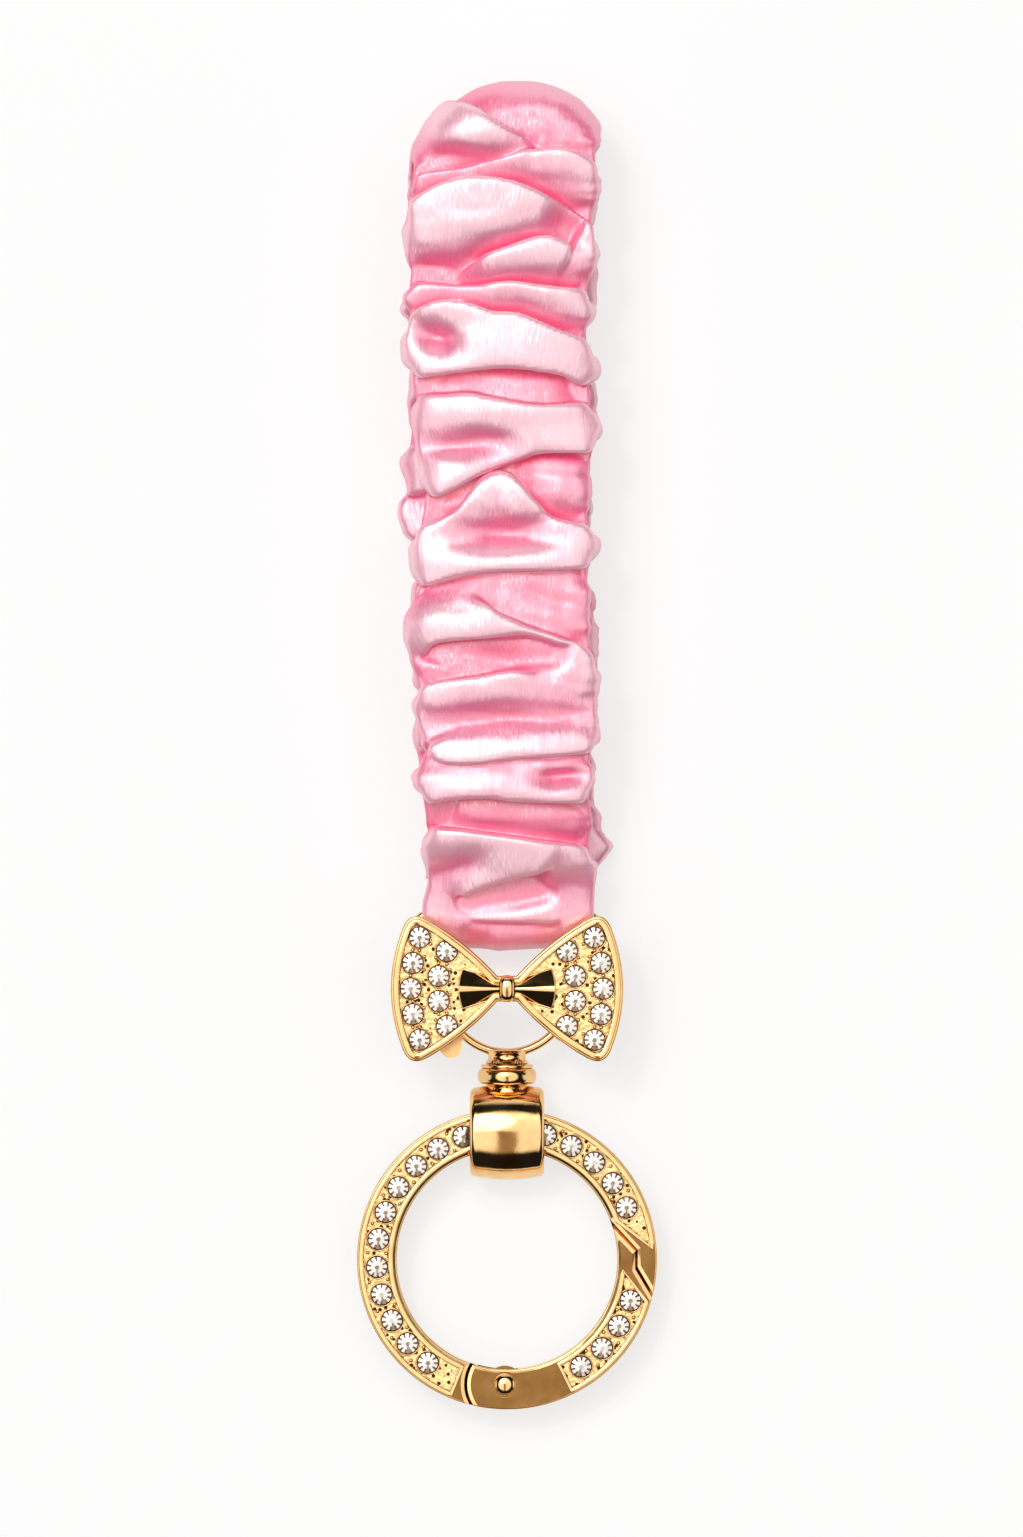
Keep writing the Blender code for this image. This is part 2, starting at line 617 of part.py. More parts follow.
def make_holder(finish, parent, location):
    half = HOLDER_WIDTH / 2
    edge = 0.5 * MM
    hole = HOLDER_RADIUS - HOLDER_WALL
    profile = []
    steps = 6
    for k in range(steps + 1):
        x = (half - edge) * (2 * k / steps - 1)
        profile.append((HOLDER_RADIUS - HOLDER_CROWN * (x / half) ** 2, x))
    end = HOLDER_RADIUS - HOLDER_CROWN
    profile += [(end - 0.15 * edge, half - 0.3 * edge), (end - 0.9 * edge, half)]
    profile += [(hole + 0.5 * edge, half), (hole, half - edge), (hole, edge - half)]
    profile += [(hole + 0.5 * edge, -half), (end - 0.9 * edge, -half), (end - 0.15 * edge, 0.3 * edge - half)]
    bm = turned(profile, 30, "X")
    bmesh.ops.scale(bm, vec=(1, 1, HOLDER_DEPTH_RATIO), verts=bm.verts)
    holder = add_piece("ring_holder", bm, finish, parent, location)
    top = HOLDER_RADIUS + BOSS_RISE
    boss = [(0, top - 1.2 * MM), (BOSS_RADIUS + 0.3 * MM, top - 1.2 * MM),
            (BOSS_RADIUS, top - 0.1 * MM), (BOSS_RADIUS - 0.1 * MM, top), (0, top)]
    shape(holder, turned(boss, 24, "Y"), "UNION")
    bore = PIN_RADIUS + FINE_GAP
    seat = hole + PIN_HEAD_THICK + FINE_GAP
    room = PIN_HEAD + FINE_GAP
    drill = [(0, top + 1 * MM), (bore, top + 1 * MM), (bore, seat), (room, seat),
             (room, hole - 1.2 * MM), (0, hole - 1.2 * MM)]
    shape(holder, turned(drill, 20, "Y"), "DIFFERENCE")
    return holder


def hinge_meet(reach, radius):
    # Angle on the circle of this radius, short of the hinge, that lies at this reach from it.
    cosine = (HINGE_RADIUS ** 2 + radius ** 2 - reach ** 2) / (2 * HINGE_RADIUS * radius)
    return HINGE_ANGLE - math.acos(cosine)


def hinge_point():
    return Vector((HINGE_RADIUS * math.cos(HINGE_ANGLE), HINGE_RADIUS * math.sin(HINGE_ANGLE)))


def hinge_end(reach):
    # Round end about the hinge, from the outer edge of the ring to its inner edge.
    centre = hinge_point()
    angles = []
    for radius in (RING_OUTER, RING_INNER):
        spot = hinge_meet(reach, radius)
        point = Vector((radius * math.cos(spot), radius * math.sin(spot))) - centre
        angles.append(math.atan2(point.y, point.x) % (2 * math.pi))
    return arc(centre, reach, angles[0], angles[1], 8)


def latch_region(side):
    # The part of the plane above (1) or below (-1) the stepped latch line, less half its gap.
    shift = -side * LATCH_GAP / 2
    reach = 0.75 * (RING_OUTER - RING_INNER)
    inner, outer = LATCH_SLOPES
    line = [(-reach, LATCH_STEP + inner * reach), (0, LATCH_STEP),
            (0, -LATCH_STEP), (reach, -LATCH_STEP - outer * reach)]
    far = side * 3 * reach
    region = [(RING_MID - 0.1 * MM + x + 0.8 * shift, y + 0.6 * shift) for x, y in line]
    region += [(RING_MID + 2 * reach, far), (RING_MID - 2 * reach, far)]
    return region


def ring_bed(outer_span, inner_span, steps):
    centre = (0, 0)
    outer = arc(centre, RING_OUTER - RING_RIM, *outer_span, steps)
    return outer + arc(centre, RING_INNER + RING_RIM, *reversed(inner_span), steps)


def frame_bed_end():
    return hinge_meet(SOCKET_END + 0.9 * MM, RING_MID)


def frame_stone_angles():
    first = sum(FRAME_BED) / 2 + 0.93 * STONE_PITCH
    count = int((frame_bed_end() - first - 0.55 * STONE_PITCH) / STONE_PITCH) + 1
    return [first + STONE_PITCH * k for k in range(count)]


def gate_stone_angles():
    first = sum(GATE_BED) / 2 - 0.6 * STONE_PITCH
    count = int((first - GATE_BLOCK - 0.55 * STONE_PITCH) / STONE_PITCH) + 1
    return [first - STONE_PITCH * k for k in range(count)]


def on_ring(angles):
    return [(RING_MID * math.cos(a), RING_MID * math.sin(a)) for a in angles]


def moved(bm, offset):
    bmesh.ops.translate(bm, vec=offset, verts=bm.verts)
    return bm


def dress_ring(piece, offset, cut_side, bed, spots):
    half = RING_THICK / 2
    shape(piece, moved(prism(latch_region(cut_side), -RING_THICK, RING_THICK), offset), "DIFFERENCE")
    shape(piece, moved(prism(bed, half - BED_DEPTH, RING_THICK), offset), "DIFFERENCE")
    shape(piece, moved(seat_cutter(spots, half - BED_DEPTH), offset), "DIFFERENCE")


def make_frame(finish, parent):
    offset = (0, RING_CENTRE, 0)
    half = RING_THICK / 2
    past_latch = math.radians(-24)
    outline = arc((0, 0), RING_OUTER, past_latch, hinge_meet(SOCKET_END, RING_OUTER), 56)
    outline += hinge_end(SOCKET_END)[1:-1]
    outline += arc((0, 0), RING_INNER, hinge_meet(SOCKET_END, RING_INNER), past_latch, 56)
    bm = prism(outline, -half, half)
    round_rims(bm, (-half, half), RING_EDGE, 1)
    frame = add_piece("ring_frame", moved(bm, offset), finish, parent)
    end = frame_bed_end()
    bed = ring_bed((FRAME_BED[0], end), (FRAME_BED[1], end), 50)
    dress_ring(frame, offset, -1, bed, on_ring(frame_stone_angles()))
    # The tongue runs from inside the frame's end to the hinge.
    low = -FORK_SLOT / 2 + FINE_GAP
    hinge = hinge_point()
    root = (hinge.x - SOCKET_END + 0.3 * TONGUE_RADIUS, hinge.y)
    tongue = prism(capsule(root, hinge, TONGUE_RADIUS), low, low + TONGUE_THICK)
    shape(frame, moved(tongue, offset), "UNION")
    hole = prism(arc(hinge, RIVET_RADIUS + FINE_GAP, 0, 2 * math.pi * 15 / 16, 15), -half, half)
    shape(frame, moved(hole, offset), "DIFFERENCE")
    return frame


def make_gate(finish, parent):
    hinge = hinge_point()
    offset = (-hinge.x, -hinge.y, 0)
    half = RING_THICK / 2
    full = 2 * math.pi
    past_latch = full + math.radians(26)
    outline = arc((0, 0), RING_OUTER, hinge_meet(GATE_END, RING_OUTER), past_latch, 30)
    outline += arc((0, 0), RING_INNER, past_latch, hinge_meet(GATE_END, RING_INNER), 30)
    outline += hinge_end(GATE_END)[-2:0:-1]
    bm = prism(outline, -half, half)
    round_rims(bm, (-half, half), RING_EDGE, 1)
    gate = add_piece("ring_gate", moved(bm, offset), finish, parent)
    bed = ring_bed((GATE_BLOCK, GATE_BED[0]), (GATE_BLOCK, GATE_BED[1]), 14)
    dress_ring(gate, offset, 1, bed, on_ring(gate_stone_angles()))
    # The fork's slot lets the tongue turn through the gate's travel.
    room = TONGUE_RADIUS + CLEARANCE
    far = 2 * GATE_END
    swing = math.pi - GATE_TRAVEL
    top = arc((0, 0), room, -math.pi / 2, swing - math.pi / 2, 10)
    end = (top[-1][0] + far * math.cos(swing), top[-1][1] + far * math.sin(swing))
    slot = top + [end, (-far, end[1]), (-far, -room)]
    shape(gate, prism(slot, -FORK_SLOT / 2, FORK_SLOT / 2), "DIFFERENCE")
    bore = RIVET_RADIUS + FINE_GAP
    sink = RIVET_HEAD + 0.4 * MM
    back = RIVET_HEAD + FINE_GAP
    drill = [(0, -half - 1 * MM), (back, -half - 1 * MM), (back, 0.4 * MM - half),
             (bore, 0.4 * MM - half), (bore, half - 0.2 * MM), (sink, half - 0.2 * MM),
             (sink, half + 1 * MM), (0, half + 1 * MM)]
    shape(gate, turned(drill, 20, "Z"), "DIFFERENCE")
    return gate


def make_rivet(finish, parent, location):
    half = RING_THICK / 2
    seat = half - 0.2 * MM + FINE_GAP / 3
    back = 0.4 * MM - FINE_GAP / 3 - half
    profile = [(0, -half), (RIVET_HEAD, -half), (RIVET_HEAD, back)]
    profile += [(RIVET_RADIUS, back), (RIVET_RADIUS, seat)]
    for k in range(4):
        angle = math.pi / 2 * k / 4
        profile.append((RIVET_HEAD * math.cos(angle), seat + 0.1 * MM + RIVET_DOME * math.sin(angle)))
    profile.insert(5, (RIVET_HEAD, seat))
    profile.append((0, seat + 0.1 * MM + RIVET_DOME))
    return add_piece("hinge_rivet", turned(profile, 20, "Z"), finish, parent, location)


def make_spring(finish, parent, location):
    # One open turn of wire round the rivet, with a leg along the tongue and a leg in the fork.
    radius = RIVET_RADIUS + 2 * FINE_GAP + SPRING_WIRE
    low = TONGUE_THICK + 2 * FINE_GAP + SPRING_WIRE - FORK_SLOT / 2
    rise = FORK_SLOT / 2 - FINE_GAP - SPRING_WIRE - low
    leg = 0.8 * TONGUE_RADIUS
    points = [(-leg, -radius, low)]
    turns = 14
    for k in range(turns + 1):
        angle = -math.pi / 2 + math.radians(300) * k / turns
        points.append((radius * math.cos(angle), radius * math.sin(angle), low + rise * k / turns))
    onward = Vector((-math.sin(angle), math.cos(angle), 0))
    points.append(Vector(points[-1]) + onward * 0.4 * leg)
    spring = add_mesh("gate_spring", tube(points, SPRING_WIRE, 0), parent, location)
    spring.data.materials.append(finish)
    return spring


def set_stones(mesh, prefix, parent, spots, height, start=1):
    for k, (x, y) in enumerate(spots, start):
        add_mesh(f"{prefix}_{k:02d}", mesh, parent, (x, y, height))
    return start + len(spots)


def main():
    clear_scene()
    satin = material("pink satin", (0.85, 0.42, 0.52), 0.4, 0.0)
    woven_rubber = material("woven elastic", (0.85, 0.83, 0.8), 0.8, 0.0)
    thread = material("pink thread", (0.8, 0.35, 0.46), 0.7, 0.0)
    plate = material("light gold plate", (0.86, 0.64, 0.36), 0.18, 1.0)
    glass = material("clear glass", (0.95, 0.95, 0.97), 0.03, 0.0)
    steel = material("spring steel", (0.55, 0.56, 0.58), 0.35, 1.0)

    path = StrapPath()
    strap = add_empty("strap", None, (0, 0, 0))
    make_sleeve(path, satin, strap)
    make_elastic(path, woven_rubber, strap)
    make_stitches(path, thread, strap)

    bow = add_empty("bow_axis", None, (0, BAR_Y, AXIS_Z))
    make_strap_ring(plate, bow)
    make_bow(plate, bow)
    make_pin(plate, bow)
    stone = stone_mesh(glass)
    wing = [(side * x, y - BOW_DROP) for side in (1, -1) for x, y in wing_stones()]
    set_stones(stone, "bow_stone", bow, wing, BOW_LIFT + BOW_THICK - BED_DEPTH)

    swivel = add_empty("swivel_axis", bow, (0, -NECK_END, 0))
    make_collar(plate, swivel)
    eye = (0, NECK_END - EYE_DROP, 0)
    make_holder(plate, swivel, eye)

    ring = add_empty("ring_axis", swivel, eye)
    hinge = hinge_point()
    hinge_place = (hinge.x, hinge.y + RING_CENTRE, 0)
    make_frame(plate, ring)
    make_rivet(plate, ring, hinge_place)
    make_spring(steel, ring, hinge_place)
    bed = RING_THICK / 2 - BED_DEPTH
    frame_spots = [(x, y + RING_CENTRE) for x, y in on_ring(frame_stone_angles())]
    after = set_stones(stone, "ring_stone", ring, frame_spots, bed)

    gate = add_empty("gate_axis", ring, hinge_place)
    make_gate(plate, gate)
    gate_spots = [(x - hinge.x, y - hinge.y) for x, y in on_ring(gate_stone_angles())]
    set_stones(stone, "ring_stone", gate, gate_spots, bed, after)


main()
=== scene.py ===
# Wrist strap of ruched pink satin with a stone-set bow, a swivel and a spring-gate ring.
# Lengths are metres in the frame's axes: x to the right, y up the strap, z towards the viewer.
import json
import math

import bmesh
import bpy
import numpy as np
from mathutils import Matrix, Vector, noise


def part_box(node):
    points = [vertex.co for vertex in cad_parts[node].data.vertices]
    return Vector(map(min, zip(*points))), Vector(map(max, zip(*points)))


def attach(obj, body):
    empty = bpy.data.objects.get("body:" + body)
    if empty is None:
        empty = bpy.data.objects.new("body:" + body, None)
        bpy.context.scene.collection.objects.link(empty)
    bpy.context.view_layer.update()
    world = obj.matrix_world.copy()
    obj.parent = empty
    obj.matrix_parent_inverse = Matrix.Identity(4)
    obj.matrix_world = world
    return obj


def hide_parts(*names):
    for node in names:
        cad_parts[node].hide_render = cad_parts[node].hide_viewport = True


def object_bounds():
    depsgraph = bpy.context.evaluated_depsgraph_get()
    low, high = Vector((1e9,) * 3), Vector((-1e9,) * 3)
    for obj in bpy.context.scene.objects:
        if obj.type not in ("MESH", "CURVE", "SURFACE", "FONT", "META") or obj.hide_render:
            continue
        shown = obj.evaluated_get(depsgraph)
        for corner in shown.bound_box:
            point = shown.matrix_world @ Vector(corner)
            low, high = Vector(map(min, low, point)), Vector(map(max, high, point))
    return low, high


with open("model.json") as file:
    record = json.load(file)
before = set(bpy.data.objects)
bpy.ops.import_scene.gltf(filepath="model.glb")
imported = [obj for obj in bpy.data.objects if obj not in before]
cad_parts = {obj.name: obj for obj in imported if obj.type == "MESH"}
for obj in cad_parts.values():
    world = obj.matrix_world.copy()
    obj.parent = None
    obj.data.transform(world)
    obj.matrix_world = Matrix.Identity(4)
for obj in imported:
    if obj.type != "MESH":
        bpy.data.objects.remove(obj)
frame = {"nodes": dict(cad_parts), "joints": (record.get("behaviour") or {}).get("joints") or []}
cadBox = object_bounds()
mm = 0.001
joints = {joint["name"]: Vector(joint["pos_m"]) for joint in frame["joints"]}
bar = joints["strap_fold"]
print("frame loaded:", len(frame["nodes"]), "nodes")


# Shared helpers

def linear(hexColour):  # sRGB hex to the linear colour that a socket takes
    parts = [int(hexColour[k:k + 2], 16) / 255 for k in (1, 3, 5)]
    return (*[c / 12.92 if c <= 0.04045 else ((c + 0.055) / 1.055) ** 2.4 for c in parts], 1.0)


def addNode(tree, kind, inputs=(), **settings):
    # A node with its settings, values and links. Inputs are named, or listed in the order of the sockets:
    # for a MapRange the value, the two ends it comes from and the two it goes to.
    node = tree.nodes.new("ShaderNode" + kind)
    for name, value in settings.items():
        setattr(node, name, value)
    for name, value in inputs.items() if isinstance(inputs, dict) else enumerate(inputs):
        if isinstance(value, bpy.types.Node):
            value = value.outputs[0]
        if isinstance(value, bpy.types.NodeSocket):
            tree.links.new(value, node.inputs[name])
        else:
            node.inputs[name].default_value = value
    return node


def newMaterial(name):
    made = bpy.data.materials.new(name)
    made.use_nodes = True
    made.node_tree.nodes.clear()
    return made, made.node_tree


def addPiece(name, mesh, materials, body=None):
    for material in materials:
        mesh.materials.append(material)
    piece = bpy.data.objects.new(name, mesh)
    bpy.context.scene.collection.objects.link(piece)
    if body:
        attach(piece, body)
    return piece


def toMesh(name, bm):  # frees the bmesh and shades its mesh smooth
    mesh = bpy.data.meshes.new(name)
    for face in bm.faces:
        face.smooth = True
    bm.to_mesh(mesh)
    bm.free()
    return mesh


def closeUp(bm):  # welds what touches and fills the open ends
    bmesh.ops.remove_doubles(bm, verts=bm.verts, dist=1e-6)
    bmesh.ops.holes_fill(bm, edges=[edge for edge in bm.edges if edge.is_boundary])
    bmesh.ops.recalc_face_normals(bm, faces=bm.faces)


def markSharp(bm, angle):  # edges that turn by more than this many degrees stay crisp
    for edge in bm.edges:
        edge.smooth = not edge.is_manifold or edge.calc_face_angle() < math.radians(angle)


def smoothStep(value, start=0.0, length=1.0):  # from 0 to 1 over this length
    share = np.clip((value - start) / length, 0.0, 1.0)
    return share * share * (3 - 2 * share)


def signedPower(value, power):
    return np.sign(value) * np.abs(value) ** power


# Camera: straight down on the strap, far off, as a product shot

view = {
    "distance": 1.1,
    "frameHeight": 192.1 * mm,  # 1537 pixels at 8 to a millimetre
    "centre": (0.56 * mm, -2.88 * mm),
    "focus": 8 * mm,  # height of the plane that the frame's size is taken at
    "sensor": 36.0,
    "clip": 0.05,
}


def makeCamera():
    camera = bpy.data.objects.new("camera", bpy.data.cameras.new("camera"))
    camera.location = (*view["centre"], view["focus"] + view["distance"])
    camera.data.sensor_width = view["sensor"]
    camera.data.lens = view["sensor"] * view["distance"] / view["frameHeight"]
    camera.data.clip_start = view["clip"]
    bpy.context.scene.collection.objects.link(camera)
    bpy.context.scene.camera = camera


makeCamera()
print("camera made")


# Stage: white paper under a round overhead diffuser with a gap for the camera, a softbox and a smaller
# lamp at the upper left, and pale panels low down at the sides and the top. The rest of the room is dark,
# which is what the metal mirrors. Edges are heights or sideways reaches on the unit sphere.

stage = {
    "floorSize": 6.0,
    "floorColour": "#f7f7f7",
    "white": "#ffffff",
    "lamps": (  # name, place, size, power and whether gloss shows it
        ("softbox", (-0.42, 0.62, 1.6), 1.2, 7.5, True),
        ("shadowLamp", (-0.5, 0.62, 1.6), 0.22, 4.5, False),
    ),
    "room": 0.015,  # light from the walls
    "diffuser": (1.25, 1.9),  # from the diffuser's rim, away from the softbox and towards it
    "keySpread": (-0.6, 0.6),
    "diffuserMiddle": 1.3,
    "diffuserFade": (0.8, 0.98),  # where the rim's light fades to the middle's
    "diffuserEdge": (0.66, 0.8),
    "gap": 0.38,
    "gapColour": "#ffe0b6",  # the warm dim ceiling over the gap
    "gapSide": (0.05, 0.15),  # the gap's edge sideways and upwards; it runs on down to the horizon
    "gapTop": (-0.03, 0.1),
    "panel": 0.95,
    "panelEdge": (0.86, 0.95),
    "whiteShare": 0.68,  # how far the paper's own white shows through its shade
}


def makeFloor():
    paper, tree = newMaterial("matt white paper")  # smooth card: no gloss, keeps a soft shadow
    path = addNode(tree, "LightPath").outputs
    shiny = addNode(tree, "Math", (path["Is Glossy Ray"], path["Is Transmission Ray"]), operation="MAXIMUM")
    seen = addNode(tree, "Math", (path["Is Camera Ray"], shiny), operation="MAXIMUM")
    share = addNode(tree, "Math", (seen, stage["whiteShare"]), operation="MULTIPLY")
    shade = addNode(tree, "BsdfDiffuse", (linear(stage["floorColour"]),))
    glow = addNode(tree, "Emission", (linear(stage["white"]), 1.0))
    shader = addNode(tree, "MixShader", (share, shade, glow))
    addNode(tree, "OutputMaterial", {"Surface": shader})
    bm = bmesh.new()
    bmesh.ops.create_grid(bm, x_segments=1, y_segments=1, size=stage["floorSize"] / 2)
    floor = addPiece("floor", toMesh("floor", bm), [paper])


def makeLamp(name, place, size, power, shines):
    lamp = bpy.data.lights.new(name, "AREA")
    lamp.shape = "DISK"
    lamp.size = size
    lamp.energy = power
    lamp.color = linear(stage["white"])[:3]
    holder = bpy.data.objects.new(name, lamp)
    holder.visible_glossy = shines
    holder.location = place
    holder.rotation_euler = Vector(place).to_track_quat("Z", "Y").to_euler()
    bpy.context.scene.collection.objects.link(holder)


def makeSky():
    world = bpy.data.worlds.new("studio")
    bpy.context.scene.world = world
    world.use_nodes = True
    tree = world.node_tree
    tree.nodes.clear()
    spot = addNode(tree, "TexCoord")
    x, y, z = addNode(tree, "SeparateXYZ", (spot.outputs["Generated"],)).outputs
    sideways = addNode(tree, "Math", (x,), operation="ABSOLUTE")
    soft = {"interpolation_type": "SMOOTHSTEP"}  # no light ends in a hard line
    beside = addNode(tree, "MapRange", (sideways, *stage["gapSide"]), **soft)
    above = addNode(tree, "MapRange", (y, *stage["gapTop"]), **soft)
    clear = addNode(tree, "Math", (beside, above), operation="MAXIMUM")
    towardsKey = addNode(tree, "Math", (y, x), operation="SUBTRACT")
    rim = addNode(tree, "MapRange", (towardsKey, *stage["keySpread"], *stage["diffuser"]), **soft)
    diffuser = addNode(tree, "MapRange", (z, *stage["diffuserFade"], rim, stage["diffuserMiddle"]), **soft)
    overhead = addNode(tree, "MapRange", (clear, 0.0, 1.0, stage["gap"], diffuser), **soft)
    level = addNode(tree, "MapRange", (z, *stage["diffuserEdge"], stage["room"], overhead), **soft)
    outwards = addNode(tree, "Math", (sideways, y), operation="MAXIMUM")
    panels = addNode(tree, "MapRange", (outwards, *stage["panelEdge"], 0.0, stage["panel"]), **soft)
    light = addNode(tree, "Math", (level, panels), operation="MAXIMUM")
    seen = addNode(tree, "LightPath").outputs["Is Camera Ray"]
    strength = addNode(tree, "MapRange", (seen, 0.0, 1.0, light, 1.0))
    white = linear(stage["white"])
    tint = addNode(tree, "Mix", {0: clear, 6: linear(stage["gapColour"]), 7: white}, data_type="RGBA")
    shown = addNode(tree, "Mix", {0: seen, 6: tint.outputs[2], 7: white}, data_type="RGBA")
    backdrop = addNode(tree, "Background", (shown.outputs[2], strength))
    addNode(tree, "OutputWorld", {"Surface": backdrop})


bpy.context.scene.view_settings.view_transform = "Standard"
makeFloor()
for lampSettings in stage["lamps"]:
    makeLamp(*lampSettings)
makeSky()
print("stage lit")


# Satin sleeve: a tube of cloth gathered on elastic and doubled into a flat loop.
# Folds are drawn in millimetres as they lie from above, so each one sits where it does on the real strap.

sleeve = {
    "layerThick": 5.0 * mm,  # one gathered layer, over its crests
    "backMid": 2.0 * mm,  # height of the back layer's middle
    "wrapMid": 2.6 * mm,  # bar axis to the middle of the cloth round it
    "barHalf": 1.1 * mm,  # half thickness at the bar
    "puffLength": 11 * mm,
    "riseLength": 20 * mm,
    "barSag": (0.9 * mm, 0.5 * mm),  # the cloth hangs under the bar's middle, and is drawn up at its sides
    "sagPower": 2.2,
    "sagReach": (6 * mm, 7 * mm),  # along the strap and up from the bar
    "seamRise": 4.5 * mm,
    "seamGap": 0.25 * mm,
    "topDrop": 5.6 * mm,  # the top turn falls to its sides
    "topPower": 2.4,
    "topLength": 18 * mm,
    "topShift": 1.6 * mm,  # it is highest right of the middle
    "topBlend": (-3 * mm, 6 * mm),  # where the back layer's folds give way to the front's
    "roundness": 0.7,  # of the cross section: 1 is an oval, 0 a box
    "section": (11.8, 2.5),  # usual half width and half thickness in mm, for spacing the points
    "innerWall": (-0.55, 0.4),  # under this height the points are this share as close
    "legPoints": 400,
    "turnPoints": 120,
    "nudge": 0.05 * mm,  # step for finding which way the strap runs
    "around": 128,  # cells round the tube
    "fineStep": 0.33 * mm,  # cell length on the front layer, and elsewhere
    "fineFrom": -4 * mm,
    "coarseStep": 0.5 * mm,
    "hem": (0.6 * mm, 1.8 * mm, 3.2 * mm),  # rows of cloth turned in at each end
    "hemShare": 0.84,
    "seamFlap": (0.5 * mm, 1.5 * mm, 2.6 * mm),  # columns turned in along the sewn edge
    "flapFall": 0.06,
    "girth": 60 * mm,  # the flat cut: round the tube with its seam, and along it before gathering
    "length": 300 * mm,
    "crest": 1.1,  # most that a ridge of the cloth stands above the plain tube, in mm
    "pocketDepth": 1.0,  # mm under or over the plain tube where the cloth counts as fully sunk or raised
    "outerWall": (-0.75, 0.6),  # height in the section where the outer folds start
    "grip": (1 * mm, 7 * mm),  # no folds where the bar grips
    "gripMiddle": (7.5 * mm, 2 * mm, 0.9),  # but most of them come back behind the bow's gap
    "seamCalm": 5 * mm,
    "sides": (0.25, 0.6),  # how far the tube has turned where the folds open out
    "wrinkles": ((0.16, 5.0, 1.6, 0.0), (0.08, 1.6, 3.4, 7.0)),  # rise, size across and along, offset
    "puckers": (0.35, 6.0, 1.1, 3.0),  # the same along the right edge
    "puckerReach": 2.2 * mm,
    "offElastic": 0.55 * mm,
    "offFloor": 0.1 * mm,
}
# How cloth rolls at a fold, in mm: width of the step, roll over and under it, and the lip's overhang
crispFold = {"wall": 0.8, "overRoll": 3.4, "underRoll": 2.3, "overhang": 1.0}
softFold = {"wall": 1.5, "overRoll": 3.4, "underRoll": 1.8, "overhang": 0.25}
foldScale = {"depth": 1.3, "lip": 1.7, "swell": 1.4, "soft": 1.3, "inner": 0.5}  # tables to cloth
foldReach = {"near": 9, "runOn": 5, "steps": 6, "push": 1.7, "dive": 1.5}
# y, left and right edge of each layer, in mm
frontEdges = (
    (84, -12.2, 11.9), (73, -12.4, 11.6), (66, -12.3, 11.2), (60.7, -12.5, 10.9), (55.7, -12.9, 10.7),
    (50.5, -12.5, 10.2), (45.7, -12.4, 11.0), (40.7, -11.7, 11.1), (37.5, -11.4, 11.4), (33.2, -10.4, 10.6),
    (30.0, -11.0, 10.5), (25.7, -11.6, 10.9), (20.7, -11.5, 10.6), (15.7, -12.9, 10.4), (10.7, -12.2, 11.3),
    (5.7, -11.6, 11.1), (0.7, -10.7, 11.3), (-4.3, -11.4, 10.7), (-9.3, -10.8, 11.2), (-13, -10.2, 10.8),
    (-16.8, -9.9, 11.0), (-20.8, -10.6, 10.9), (-25, -10.4, 10.4),
)
backEdges = (
    (84, -12.2, 11.9), (74, -12.4, 11.2), (66, -13.3, 10.6), (60, -12.2, 11.5), (55, -12.8, 10.8),
    (48, -12.2, 10.4), (41, -12.6, 11.4), (33.5, -13.3, 10.6), (29, -13.2, 10.2), (23, -11.2, 10.6),
    (14.5, -12.2, 11.7), (8, -11.6, 11.2), (0, -12.0, 10.6), (-6.5, -11.0, 10.8), (-9.5, -10.7, 12.5),
    (-12.5, -10.5, 12.7), (-16, -10.2, 11.2), (-20, -10.4, 10.6), (-25, -10.4, 10.4),
)
